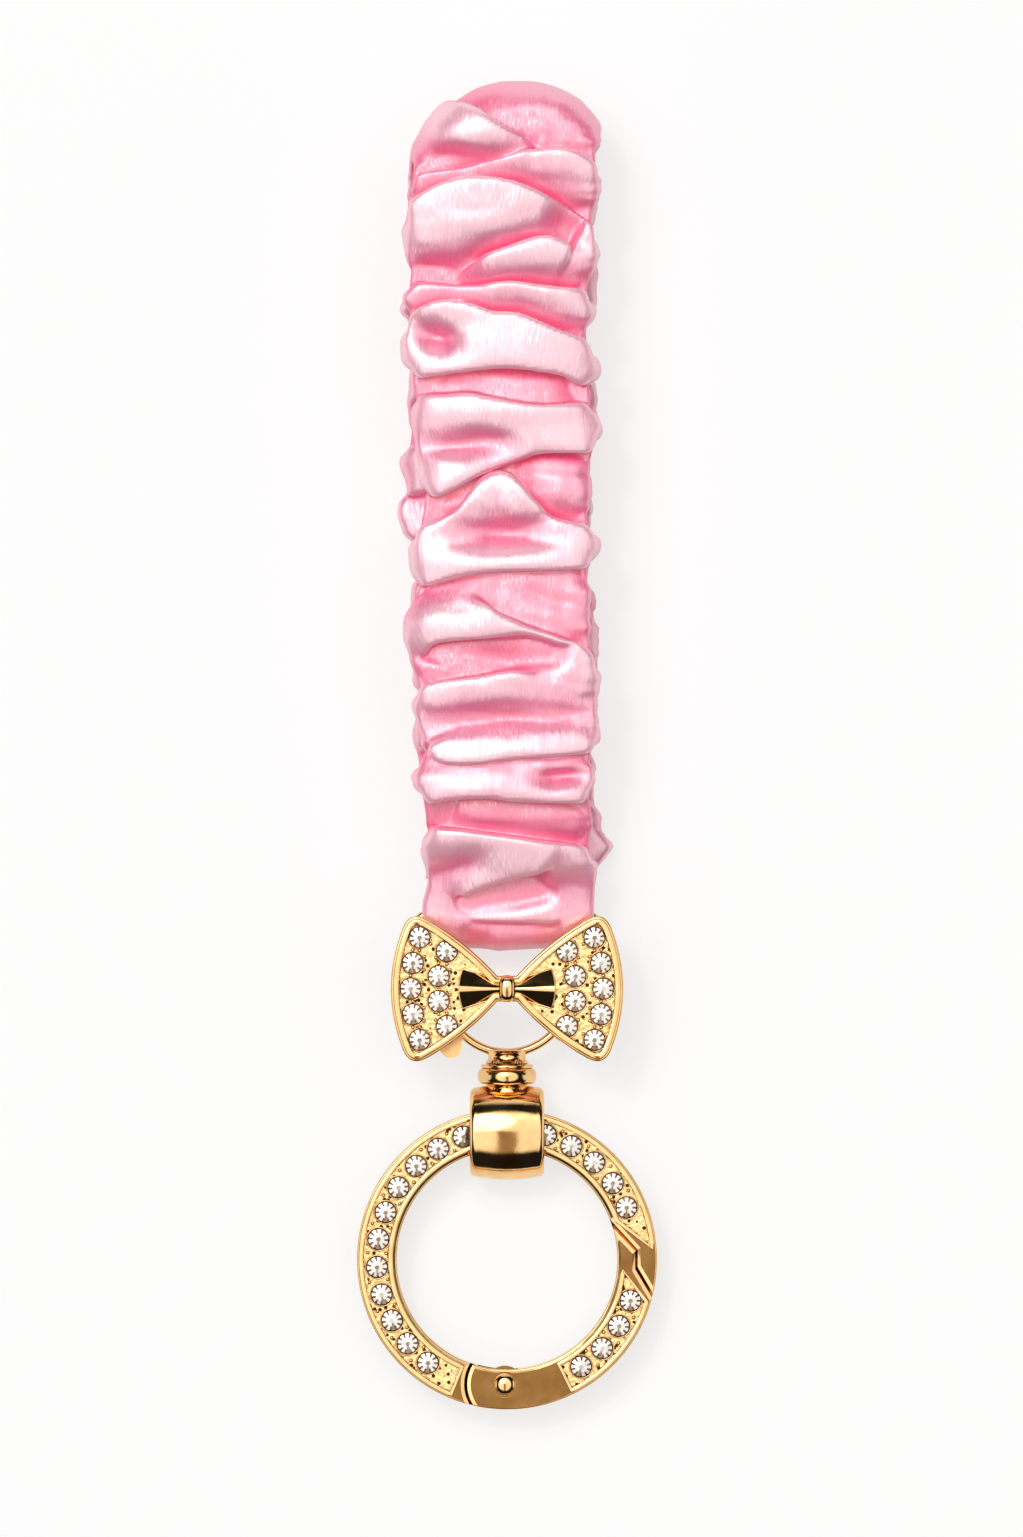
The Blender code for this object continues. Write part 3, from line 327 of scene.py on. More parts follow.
# Folds of the front layer: which side laps over (1 upper, -1 lower), valley depth, lip height, how far
# the left and right ends fade out, and the line of the fold.
frontFolds = (
    (-1, 1.1, 0.55, 0, 3, ((-6.8, 80.2), (-4.3, 79.3), (-0.9, 77.1), (1.6, 75.7), (4.4, 74.3))),
    (-1, 0.75, 0.4, 0, 0, ((-12.8, 70.8), (-9.6, 71.3), (-5.6, 71.9), (-1.8, 72.8), (4.1, 74.1), (7.9, 74.1),
                           (11.6, 72.2))),
    (-1, 1.1, 0.65, 0, 0, ((-12.4, 66.6), (-10.3, 68.2), (-7.8, 69.4), (-3.4, 70.2), (1.6, 69.4), (7.3, 66.6),
                           (10.6, 64.5))),
    (-1, 1.1, 0.6, 6, 1, ((-7.1, 58.5), (-3.4, 60.4), (-0.2, 61.5), (2.9, 62.6), (5.4, 62.9), (8.5, 61.6))),
    (-1, 0.9, 0.65, 0, 0, ((-12.4, 57.6), (-8.1, 57.1), (-4, 56.9), (0.4, 57.4), (4.4, 56.9), (10.7, 56.3))),
    (-1, 1.2, 0.6, 0, 0, ((-11.8, 53.3), (-9.6, 54.4), (-7.1, 54.8), (-4.3, 54.3), (-1.8, 53.5), (1.6, 53.2),
                          (6, 51.3), (9.8, 49.9))),
    (1, 1.2, 0.7, 0, 0, ((-12.4, 45.6), (-9.6, 46.3), (-2.8, 47.2), (1, 47.3), (4.1, 46.9), (7.3, 46.2),
                         (10.6, 44.1))),
    (-1, 0.65, 0.35, 0, 0, ((-11.5, 43.8), (-8.1, 43.8), (-4.9, 44.0), (-2.4, 43.5), (3.5, 42.4),
                            (9.75, 42.9))),
    (1, 1.2, 0.75, 0, 0, ((-11.5, 30.6), (-9.6, 31.0), (-6.5, 32.4), (-3.4, 34.1), (1.6, 36.0), (4.4, 36.8),
                          (11, 36.9))),
    (-1, 0.85, 0.65, 0, 0, ((-11.2, 26.9), (-9, 27.7), (-6.5, 28.9), (-4.9, 30.7), (-3.2, 33.0), (-1.4, 33.9),
                            (0.4, 33.6), (1.9, 32.0), (3.5, 30.1), (6, 28.1), (11.4, 27.1))),
    (1, 0.8, 0.45, 0, 0, ((-11.2, 19.4), (-8.1, 20.4), (-4.9, 21.2), (-1.8, 21.6), (5.4, 21.8), (11, 22.1))),
    (-1, 0.8, 0.5, 4, 0, ((-4.6, 19.4), (-2.8, 17.9), (-1.2, 16.6), (1.6, 15.6), (4.8, 14.6), (7.6, 13.5),
                          (11.6, 10.7))),
    (1, 0.75, 0.4, 2, 3, ((-10.8, 9.8), (-10.2, 11.3), (-8.8, 12.6), (-5, 13.1), (-0.9, 13.2), (2.9, 12.9),
                          (8.5, 11.0))),
    (-1, 0.7, 0.4, 0, 5, ((-11.5, 7.2), (-9, 7.9), (-6.5, 8.3), (-3.4, 8.7), (1.6, 9.6), (4.5, 9.9))),
    (1, 0.7, 0.4, 1, 0, ((-10.3, 0.3), (-9.1, -1.7), (-6.8, -2.4), (-3.4, -2.3), (0.4, -1.8), (11.3, -1.0))),
    (1, 1.35, 0.5, 0, 0, ((-10.3, -7.1), (-6.5, -6.5), (-2.4, -6.3), (1.6, -6.7), (10.7, -6.9))),
    (-1, 0.95, 0.5, 0, 0, ((-10.9, -9.6), (-8.7, -10.4), (-5.6, -10.7), (-1.8, -11.2), (2.3, -11.7),
                           (11, -12.9))),
    (1, 1.0, 0.6, 3, 3, ((-7.6, -19.9), (-4, -18.1), (-0.2, -16.8), (3.5, -15.9), (6.4, -16.2))),
    (1, 0.5, 0.3, 3, 2, ((-5.9, -22.1), (1.6, -22.4), (9.0, -22.4))),
)
# Smooth hollows and swells of the front layer: x, y, half length, half width, turn in degrees, rise
frontSwells = (
    (3.5, 77.9, 6.0, 2.2, -15, -0.7), (-8.8, 73.5, 3.8, 1.3, 3, -0.65),
    (-3.5, 64.8, 7.5, 2.8, 2, 0.6), (-5.5, 76.3, 4.5, 2.0, -20, 0.45),
    (-9.8, 58.6, 5.5, 2.0, 14, -1.0), (7.4, 64.2, 3.2, 1.5, -35, -1.1),
    (2.5, 60.0, 5.0, 1.2, 0, 0.25), (-8.7, 50.6, 3.0, 1.6, -12, -1.35),
    (2.0, 49.6, 8.0, 1.5, -4, 0.5), (0.5, 41.2, 8.0, 1.6, 0, 0.5),
    (-3.4, 37.4, 6.2, 1.6, 4, -0.95), (6.5, 40.2, 4.0, 2.0, -10, -0.3), (0.2, 26.4, 9.0, 2.2, 0, -1.0),
    (0.0, 23.3, 9.5, 1.1, 2, 0.45), (-8.0, 15.6, 3.6, 2.0, -8, 0.6), (4.5, 18.4, 5.0, 1.5, -12, -0.5),
    (-0.9, 10.9, 7.5, 1.8, 0, -0.6),
    (-1.0, 3.3, 10.0, 1.9, 2, -0.8), (7.8, 3.6, 2.6, 1.2, 0, -0.3), (6.8, -3.9, 3.3, 0.8, 4, -1.0),
    (-8.4, -8.9, 1.7, 0.9, 30, -0.9), (-6.4, -15.4, 4.4, 1.6, 24, -0.6), (1.8, -18.7, 6.0, 1.5, 8, -0.9),
    (-4.0, -24.1, 1.8, 0.9, -30, -0.6),
)


def strapLine():  # middle of the strap in the Y-Z plane: seam, back layer, top turn, front layer, bar
    turnRadius = (cadBox[1].z - sleeve["layerThick"] / 2 - sleeve["backMid"]) / 2
    turnY = cadBox[1].y - sleeve["layerThick"] / 2 - turnRadius
    frontMid = sleeve["backMid"] + 2 * turnRadius

    def leg(startY, endY, side, mid):
        y = np.linspace(startY, endY, sleeve["legPoints"])
        atBar = bar.z + side * sleeve["wrapMid"]
        return np.stack([y, atBar + (mid - atBar) * smoothStep(y, bar.y, sleeve["riseLength"])], 1)

    def turn(centre, radius, start, end):
        angle = np.linspace(start, end, sleeve["turnPoints"])
        return np.stack([centre[0] + radius * np.cos(angle), centre[1] + radius * np.sin(angle)], 1)

    seamY = bar.y + sleeve["seamRise"]
    half = math.pi / 2
    runs = (leg(seamY, turnY, -1, sleeve["backMid"]),
            turn((turnY, sleeve["backMid"] + turnRadius), turnRadius, -half, half),
            leg(turnY, bar.y, 1, frontMid),
            turn((bar.y, bar.z), sleeve["wrapMid"], half, 3 * half),
            leg(bar.y, seamY - sleeve["seamGap"], -1, sleeve["backMid"]))
    line = np.concatenate([run if k == 0 else run[1:] for k, run in enumerate(runs)])
    steps = np.linalg.norm(np.diff(line, axis=0), axis=1)
    marks = np.concatenate([[0.0], np.cumsum(steps)])
    ends = np.cumsum([len(run) - (k > 0) for k, run in enumerate(runs)]) - 1
    return line, marks, marks[ends]


def alongStrap(s, behind, ahead):  # place at these distances along the strap, and outward direction there
    line, marks = strapLine()[:2]
    before, here, after = ([np.interp(s + nudge, marks, line[:, k]) for k in (0, 1)]
                           for nudge in (-behind, 0.0, ahead))
    alongY, alongZ = (far - near for near, far in zip(before, after))
    size = np.hypot(alongY, alongZ)
    return *here, alongZ / size, -alongY / size


def topSag(x, y, middle, halfWide):  # how far the top turn falls away beside its highest place
    high = smoothStep(y, cadBox[1].y - sleeve["topLength"], sleeve["topLength"])
    return sleeve["topDrop"] * high * np.abs((x - middle) / halfWide) ** sleeve["topPower"]


def sleeveRows():  # distance along the strap and share of the full section, for each row of the tube
    ends = strapLine()[2]
    topMark = (ends[0] + ends[1]) / 2 + sleeve["fineFrom"]
    spans = ((0, topMark, sleeve["coarseStep"]), (topMark, ends[2], sleeve["fineStep"]),
             (ends[2], ends[4], sleeve["coarseStep"]))
    core = [np.linspace(a, b, max(2, round((b - a) / step)), endpoint=False) for a, b, step in spans]
    core = np.concatenate(core + [[ends[4]]])
    hem = np.array(sleeve["hem"])
    turned = np.full(len(hem), sleeve["hemShare"])
    rows = np.concatenate([hem[::-1], core, core[-1] - hem])
    return rows, np.concatenate([turned, np.ones(len(core)), turned])


def edgesAt(table, y):  # left and right edge, in round lobes between the table's rows
    rows = np.array(sorted(table)) * mm
    k = np.clip(np.searchsorted(rows[:, 0], y) - 1, 0, len(rows) - 2)
    share = smoothStep(y, rows[k, 0], rows[k + 1, 0] - rows[k, 0])[:, None]
    found = rows[k, 1:] + (rows[k + 1, 1:] - rows[k, 1:]) * share
    return found[:, 0], found[:, 1]


def sectionShape():  # across and out of the cross section, points spread by length, fewer on the inner wall
    angle = np.linspace(0, 2 * math.pi, 4001)
    across, out = (signedPower(part, sleeve["roundness"]) for part in (np.cos(angle), np.sin(angle)))
    wide, thick = sleeve["section"]
    level, share = sleeve["innerWall"]
    step = np.hypot(np.diff(across) * wide, np.diff(out) * thick)
    run = np.concatenate([[0.0], np.cumsum(step * np.where(out[1:] > level, 1.0, share))])
    spread = np.interp(np.linspace(0, run[-1], sleeve["around"] + 1), run, angle)
    return (*(signedPower(part, sleeve["roundness"]) for part in (np.cos(spread), np.sin(spread))), spread)


def roundLine(points, extend):  # a smooth line through the points, run on past the ends that don't fade
    points = np.array(points, float)
    first = points[0] - (points[1] - points[0])
    last = points[-1] + (points[-1] - points[-2])
    padded = np.concatenate([[first], points, [last]])
    line = []
    for a, b, c, d in zip(padded, padded[1:], padded[2:], padded[3:]):
        for t in np.linspace(0, 1, foldReach["steps"], endpoint=False):
            line.append(0.5 * (2 * b + (c - a) * t + (2 * a - 5 * b + 4 * c - d) * t * t
                               + (3 * b - 3 * c + d - a) * t ** 3))
    line.append(points[-1])
    runOn = [tip + (tip - inner) / np.linalg.norm(tip - inner) * foldReach["runOn"]
             for tip, inner in ((line[0], line[1]), (line[-1], line[-2]))]
    return np.array(runOn[:1] * extend[0] + line + runOn[1:] * extend[1])


def nearestOn(line, here):  # signed distance to the line, travel along it and its normal; and its length
    best = np.full(len(here), 1e9)
    side, travel, normal = np.zeros(len(here)), np.zeros(len(here)), np.zeros((len(here), 2))
    run = 0.0
    for a, b in zip(line, line[1:]):
        along = b - a
        length = np.linalg.norm(along)
        share = np.clip((here - a) @ along / length ** 2, 0, 1)
        gap = here - a - share[:, None] * along
        distance = np.linalg.norm(gap, axis=1)
        closer = distance < best
        best = np.where(closer, distance, best)
        side = np.where(closer, np.sign(along[0] * gap[:, 1] - along[1] * gap[:, 0]), side)
        travel = np.where(closer, run + share * length, travel)
        normal[closer] = np.array((-along[1], along[0])) / length
        run += length
    return best * side, travel, normal, run


def foldField(spots, folds, wall, overRoll, underRoll, overhang):
    # Height and sideways shift, in mm, of cloth that laps over itself along each fold.
    rise, shift = np.zeros(len(spots)), np.zeros((len(spots), 2))
    for over, depth, lip, fadeLeft, fadeRight, points in folds:
        depth, lip = depth * foldScale["depth"], lip * foldScale["lip"]
        line = roundLine(points, (fadeLeft == 0, fadeRight == 0))
        low, high = line.min(0) - foldReach["near"], line.max(0) + foldReach["near"]
        near = np.flatnonzero(np.all((spots > low) & (spots < high), axis=1))
        if not len(near):
            continue
        d, travel, normal, run = nearestOn(line, spots[near])
        d = d * over
        foot = np.exp(-(d / wall) ** 2)
        lapped = -depth * foot + lip * (1 - foot) * np.exp(-(d / overRoll) ** 2)
        dived = -depth * np.exp(-(np.abs(d) / underRoll) ** foldReach["dive"])
        fade = np.ones(len(near))
        if fadeLeft:
            fade *= smoothStep(travel, 0, fadeLeft)
        if fadeRight:
            fade *= smoothStep(run - travel, 0, fadeRight)
        rise[near] += fade * np.where(d >= 0, lapped, dived)
        push = overhang * (depth + lip) * (1 - foot) * np.exp(-(d / foldReach["push"]) ** 2) * (d > 0)
        shift[near] -= (fade * push * over)[:, None] * normal
    return rise, shift


def easedFolds(spots, folds, turning):  # crisp folds on the face, opened into soft lobes at the sides
    crispRise, crispShift = foldField(spots, folds, **crispFold)
    softRise, softShift = foldField(spots, folds, **softFold)
    return (crispRise + (softRise * foldScale["soft"] - crispRise) * turning,
            crispShift + (softShift - crispShift) * turning[:, None])


def swellField(spots, swells):
    rise = np.zeros(len(spots))
    for x, y, halfLong, halfWide, turned, height in swells:
        cosine, sine = math.cos(math.radians(turned)), math.sin(math.radians(turned))
        gap = spots - (x, y)
        along = (gap[:, 0] * cosine + gap[:, 1] * sine) / halfLong
        across = (gap[:, 1] * cosine - gap[:, 0] * sine) / halfWide
        rise += foldScale["swell"] * height * np.exp(-along ** 2 - across ** 2)
    return rise


# Folds of the layers that nobody has pictured, by formula: five waves sway each one, in mm
hiddenFold = {
    "waves": (2.4, 1.7, 3.1, 5.3, 4.1),  # radians from one fold to the next
    "across": (-12.5, -5.5, 0.5, 6, 12),
    "sway": (1.6, 0.5, 0.6, 0.9),  # of the ends, the points left and right of the middle, and the middle
    "pitch": (5.4, 1.5),
    "fade": 6,
    "vary": 0.3,
    "lip": 0.5,
}


def hiddenFolds(y, highY, phase, strength):
    folds = []
    while y < highY:
        wave = [math.sin(len(folds) * step + phase) for step in hiddenFold["waves"]]
        ends, left, right, middle = hiddenFold["sway"]
        middle = y + middle * wave[1]
        heights = (y - ends * wave[0], middle + left * wave[3], middle, middle - right * wave[4],
                   y + ends * wave[0])
        fades = [0 if sway < 0.5 else hiddenFold["fade"] for sway in wave[3:]]
        folds.append((1 if wave[2] > 0 else -1, strength * (1 + hiddenFold["vary"] * wave[3]),
                      strength * hiddenFold["lip"], *fades, tuple(zip(hiddenFold["across"], heights))))
        y += hiddenFold["pitch"][0] + hiddenFold["pitch"][1] * wave[4]
    return folds


backLayer = hiddenFolds(-17, 80, 0.4, 0.95)
innerWalls = hiddenFolds(-12, 76, 2.0, 0.5)


def fineWrinkles(spots, height, acrossSize, alongSize, offset):  # slight pulls in the cloth
    return height * np.array([noise.noise(Vector((x / acrossSize, y / alongSize, offset))) for x, y in spots])


def shapeSleeve(u, v):  # places of the tube's vertices, from their counts round (u) and along (v)
    ends = strapLine()[2]
    topMark, length = (ends[0] + ends[1]) / 2, ends[4]
    rows, shares = sleeveRows()
    across, out, angle = sectionShape()
    flaps = sleeve["seamFlap"]
    flap = np.concatenate([flaps[::-1], np.zeros(len(across)), flaps])[u]
    side = np.where(u < len(flaps), 1, -1)
    u = np.clip(u - len(flaps), 0, len(across) - 1)
    s, share = rows[v], shares[v]
    centreY, centreZ, outY, outZ = alongStrap(s, sleeve["nudge"], sleeve["nudge"])

    # The plain tube
    puff = smoothStep(centreY, bar.y, sleeve["puffLength"])
    front = smoothStep(s, topMark + sleeve["topBlend"][0], sleeve["topBlend"][1])  # 0 on the back layer
    halfThick = sleeve["barHalf"] + (sleeve["layerThick"] / 2 - sleeve["barHalf"]) * puff
    frontSides, backSides = edgesAt(frontEdges, centreY), edgesAt(backEdges, centreY)
    left, right = (back + (near - back) * front for near, back in zip(frontSides, backSides))
    halfWide, middle = (right - left) / 2, (right + left) / 2
    a, o = across[u] * share, out[u] * share
    x = middle + halfWide * a
    y = centreY + outY * halfThick * o
    z = centreZ + outZ * halfThick * o
    y = y - topSag(x, centreY, middle + sleeve["topShift"], halfWide)
    sag, drawn = sleeve["barSag"]
    hang = (sag + drawn) * np.abs((x - middle) / halfWide) ** sleeve["sagPower"] - sag
    y = y + hang * (smoothStep(s, ends[1], sleeve["sagReach"][0])
                    * (1 - smoothStep(centreY, bar.y, sleeve["sagReach"][1])))

    # Its outward normal
    nx = signedPower(np.cos(angle[u]), 2 - sleeve["roundness"]) / halfWide
    no = signedPower(np.sin(angle[u]), 2 - sleeve["roundness"]) / halfThick
    size = np.hypot(nx, no)
    nx, no = nx / size, no / size

    # The folds
    spots = np.stack([x, y], 1) / mm
    faces = smoothStep(o, *sleeve["outerWall"])  # 1 on the outer wall and sides
    turning = smoothStep(np.abs(nx), *sleeve["sides"])
    frontRise, frontShift = easedFolds(spots, frontFolds, turning)
    frontRise += swellField(spots, frontSwells) * (1 - turning)
    backRise, backShift = easedFolds(spots, backLayer, turning)
    innerRise, innerShift = foldField(spots, innerWalls, **crispFold)
    rise = faces * (front * frontRise + (1 - front) * backRise) + (1 - faces) * innerRise
    # fold depth, from which the satin's painted shade in the folds and painted highlight on the ridges are
    # mixed
    pocket = np.clip(-rise / sleeve["pocketDepth"], -1, 1)  # 1 deep in a fold, -1 on a ridge
    shift = faces[:, None] * (front[:, None] * frontShift + (1 - front[:, None]) * backShift)
    shift += (1 - faces[:, None]) * innerShift * foldScale["inner"]
    for wrinkle in sleeve["wrinkles"]:
        rise += fineWrinkles(spots, *wrinkle) * faces
    pucker = np.exp(-((right - x) / sleeve["puckerReach"]) ** 2) * faces
    rise += pucker * fineWrinkles(spots, *sleeve["puckers"])
    rise = np.where(rise > 0, sleeve["crest"] * np.tanh(rise / sleeve["crest"]), rise)

    # Calm at the bar and the seam, and clear of the elastic
    calm = smoothStep(centreY, bar.y + sleeve["grip"][0], sleeve["grip"][1])
    behind, fall, most = sleeve["gripMiddle"]
    ease = np.where(front > 0.5, np.maximum(calm, smoothStep(-np.abs(x), -behind, fall) * most), calm)
    ease = ease * smoothStep(np.minimum(s, length - s), 0, sleeve["seamCalm"])
    rise *= ease * mm
    rise = np.maximum(rise, sleeve["offElastic"] - halfThick * np.maximum(np.abs(o), 0.5))
    shift *= (ease * mm)[:, None]
    x = x + nx * rise + shift[:, 0] - flap
    y = y + outY * no * rise + shift[:, 1] * np.abs(outZ) + side * outY * flap * sleeve["flapFall"]
    z = z + outZ * no * rise + side * outZ * flap * sleeve["flapFall"]
    return np.stack([x, y, np.maximum(z, sleeve["offFloor"])], 1), pocket * ease


satin = {
    "floats": (0.15, 1.3, 2.0),  # a few threads together, as single ones are too fine: mm wide, long, detail
    "slubs": (0.5, 5.0, 1.0),
    "tilt": 0.11,
    "slubRise": 0.06 * mm,
    "gloss": 0.27,
    "dull": (0.38, 0.7),  # on the face, and deep in a fold
    "colour": "#fb89ae",
    # painted highlight: the paler pink that the ridges are painted with
    "ridge": "#fdb8ca",
    "paintedHighlightFrom": (0.1, -0.5),  # pocket depths between which the painted highlight pales the cloth
    # painted shade: the deeper, redder pink painted deep in the folds for the light the cloth throws on
    # itself
    "pocket": "#ff4c8a",
}


def satinMaterial():
    # Polyester satin: long floats of smooth thread give a broad silky gloss, feathered along the threads,
    # over a clear pink, with a painted highlight that pales it on the ridges and painted shade that
    # deepens it where the cloth would light itself inside a fold.
    made, tree = newMaterial("polyester satin")
    weave = addNode(tree, "UVMap", uv_map="weave")
    patterns = []
    for wide, long, detail in (satin["floats"], satin["slubs"]):  # noise drawn out along the thread
        counts = (sleeve["girth"] / mm / wide, sleeve["length"] / mm / long, 1)
        spread = addNode(tree, "Mapping", {"Vector": weave, "Scale": counts})
        patterns.append(addNode(tree, "TexNoise", {"Vector": spread, "Scale": 1.0, "Detail": detail}))
    floats, slubs = patterns
    tilt = addNode(tree, "MapRange", (floats, 0.25, 0.75, -satin["tilt"], satin["tilt"]))
    facing = addNode(tree, "NewGeometry").outputs["Normal"]
    girthwise = addNode(tree, "Tangent", direction_type="UV_MAP", uv_map="weave")
    lengthwise = addNode(tree, "VectorMath", (facing, girthwise), operation="CROSS_PRODUCT")
    lean = addNode(tree, "VectorMath", {0: lengthwise, "Scale": tilt}, operation="SCALE")
    leaning = addNode(tree, "VectorMath", (facing, lean), operation="ADD")
    normal = addNode(tree, "VectorMath", (leaning,), operation="NORMALIZE")
    raised = addNode(tree, "Bump", {"Height": slubs, "Strength": 0.5, "Distance": satin["slubRise"],
                                    "Normal": normal})
    pocket = addNode(tree, "Attribute", attribute_name="pocket").outputs["Fac"]
    dull = addNode(tree, "MapRange", (pocket, 0.0, 1.0, *satin["dull"]))
    gloss = addNode(tree, "MapRange", (floats, 0.3, 0.7, satin["gloss"], dull))
    # painted highlight on the ridges, then painted shade deep in the folds, both led by the fold depth
    pale = addNode(tree, "MapRange", (pocket, *satin["paintedHighlightFrom"]))
    cloth = addNode(tree, "Mix", {0: pale, 6: linear(satin["colour"]), 7: linear(satin["ridge"])},
                    data_type="RGBA")
    colour = addNode(tree, "Mix", {0: pocket, 6: cloth.outputs[2], 7: linear(satin["pocket"])},
                     data_type="RGBA")
    shader = addNode(tree, "BsdfPrincipled", {
        "Base Color": colour.outputs[2], "Roughness": gloss, "IOR": 2.4, "Specular IOR Level": 1.0,
        "Specular Tint": linear("#fff5f5"), "Sheen Weight": 0.05, "Sheen Roughness": 0.4,
        "Sheen Tint": linear("#ffe3ea"), "Normal": raised})
    addNode(tree, "OutputMaterial", {"Surface": shader})
    return made


def makeSleeve():
    rows, columns = len(sleeveRows()[0]) - 1, sleeve["around"] + 2 * len(sleeve["seamFlap"])
    bm = bmesh.new()
    bm.loops.layers.uv.new("weave")
    depth = bm.verts.layers.float.new("pocket")
    bmesh.ops.create_grid(bm, x_segments=columns, y_segments=rows, size=1.0, calc_uvs=True)
    grid = np.array([vertex.co for vertex in bm.verts])
    u = np.rint((grid[:, 0] + 1) / 2 * columns).astype(int)
    v = np.rint((grid[:, 1] + 1) / 2 * rows).astype(int)
    places, pockets = shapeSleeve(u, v)
    for vertex, place, pocket in zip(bm.verts, places, pockets):
        vertex.co = place
        vertex[depth] = pocket
    bmesh.ops.recalc_face_normals(bm, faces=bm.faces)
    piece = addPiece("satinSleeve", toMesh("satinSleeve", bm), [satinMaterial()], "strap")
    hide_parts("satin_sleeve")
    return piece


satinSleeve = makeSleeve()
print("sleeve gathered:", len(satinSleeve.data.polygons), "faces")


# Elastic inside the sleeve: a woven band, one loop with its ends at the seam

elastic = {
    "halfWide": 8.0 * mm,
    "halfThick": 0.3 * mm,
    "endGap": 0.3 * mm,  # from each end of the sleeve
    "step": 0.9 * mm,
    "columns": 20,
    "squareness": 0.4,  # of its section: 1 is an oval, 0 a box
    "sleeveHalf": 12 * mm,
    "rib": 0.6 * mm,  # one cord of rubber, under the weave
    "pick": 0.35 * mm,
    "relief": 0.1 * mm,
    "colours": ("#d8d2cb", "#efebe6"),  # between the picks, and on them
}


def elasticMaterial():
    # Woven rubber cords: soft and dull, with close ribs along the band and fine picks across them.
    woven, tree = newMaterial("woven elastic")
    spot = addNode(tree, "UVMap", uv_map="weave")
    wave = {"Vector": spot, "Scale": 0.5 * math.pi, "Distortion": 0.4}
    ribs, picks = (addNode(tree, "TexWave", wave, bands_direction=way).outputs["Fac"] for way in "XY")
    relief = addNode(tree, "Math", (ribs, picks), operation="ADD")
    raised = addNode(tree, "Bump", {"Height": relief, "Strength": 0.6, "Distance": elastic["relief"]})
    low, high = (linear(colour) for colour in elastic["colours"])
    colour = addNode(tree, "Mix", {0: picks, 6: low, 7: high}, data_type="RGBA")
    shader = addNode(tree, "BsdfPrincipled", {
        "Base Color": colour.outputs[2], "Roughness": 0.85, "Sheen Weight": 0.2, "Normal": raised})
    addNode(tree, "OutputMaterial", {"Surface": shader})
    return woven


def makeElastic():
    ends = strapLine()[2]
    half, thick, gap = elastic["halfWide"], elastic["halfThick"], elastic["endGap"]
    bm = bmesh.new()
    weave = bm.loops.layers.uv.new("weave")
    bmesh.ops.create_grid(bm, x_segments=elastic["columns"], y_segments=round(ends[4] / elastic["step"]),
                          size=1.0, calc_uvs=True)
    for face in bm.faces:
        for corner in face.loops:
            wide, long = corner[weave].uv
            corner[weave].uv = (4 * half / elastic["rib"] * wide, ends[4] / elastic["pick"] * long)
    grid = np.array([vertex.co for vertex in bm.verts])
    turn = math.pi * grid[:, 0]
    across, out = (signedPower(part, elastic["squareness"]) for part in (np.cos(turn), np.sin(turn)))
    s = gap + (ends[4] - 2 * gap) * (grid[:, 1] + 1) / 2
    y, z, outY, outZ = alongStrap(s, 0.0, 2 * sleeve["nudge"])
    x = half * across
    drop = topSag(x, y, 0, elastic["sleeveHalf"])
    places = np.stack([x, y + outY * thick * out - drop, z + outZ * thick * out], 1)
    for vertex, place in zip(bm.verts, places):
        vertex.co = place
    closeUp(bm)
    markSharp(bm, 50)
    piece = addPiece("elasticBand", toMesh("elasticBand", bm), [elasticMaterial()], "strap")
    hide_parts("elastic_band")


makeElastic()
print("elastic laid in")


# Metal is drawn in millimetres about its own centre, then scaled and moved to its place

def arcPoints(centre, radius, start, end, steps):  # angles in degrees
    angles = np.radians(np.linspace(start, end, steps + 1))
    return [(centre[0] + radius * math.cos(a), centre[1] + radius * math.sin(a)) for a in angles]


def circle(centre, radius, points):
    return arcPoints(centre, radius, 0, 360 - 360 / points, points - 1)


def onCircle(centre, radius, angle):
    return arcPoints(centre, radius, angle, angle, 1)[0]


def bowedLine(a, b, bulge, steps):  # points after a, up to b, standing out to the left by the bulge
    a, b = Vector(a), Vector(b)
    left = Vector((a.y - b.y, b.x - a.x)).normalized()
    shares = [k / steps for k in range(1, steps + 1)]
    return [tuple(a.lerp(b, t) + left * bulge * 4 * t * (1 - t)) for t in shares]


def capsule(a, b, radius):  # an upright slot shape from a down to b
    return arcPoints(b, radius, 180, 360, 12) + arcPoints(a, radius, 0, 180, 12)


def prism(outline, low, high):
    bm = bmesh.new()
    face = bm.faces.new([bm.verts.new((x, y, low)) for x, y in outline])
    grown = bmesh.ops.extrude_face_region(bm, geom=[face])["geom"]
    moved = [item for item in grown if isinstance(item, bmesh.types.BMVert)]
    bmesh.ops.translate(bm, vec=(0, 0, high - low), verts=moved)
    bmesh.ops.recalc_face_normals(bm, faces=bm.faces)
    return bm


def turned(profile, steps, axis="Z"):  # (radius, place along the axis) points spun into a solid
    bm = bmesh.new()
    line = [bm.verts.new((radius, 0, along)) for radius, along in profile]
    pairs = list(zip(line, line[1:]))
    if profile[0][0] > 0:
        pairs.append((line[-1], line[0]))
    edges = [bm.edges.new(pair) for pair in pairs]
    bmesh.ops.spin(bm, geom=line + edges, cent=(0, 0, 0), axis=(0, 0, 1), dvec=(0, 0, 0),
                   angle=2 * math.pi, steps=steps, use_merge=True)
    bmesh.ops.remove_doubles(bm, verts=bm.verts, dist=1e-5)
    turns = {"X": Matrix.Rotation(math.pi / 2, 3, "Y"), "Y": Matrix.Rotation(-math.pi / 2, 3, "X")}
    if axis in turns:
        bmesh.ops.rotate(bm, cent=(0, 0, 0), matrix=turns[axis], verts=bm.verts)
    bmesh.ops.recalc_face_normals(bm, faces=bm.faces)
    return bm


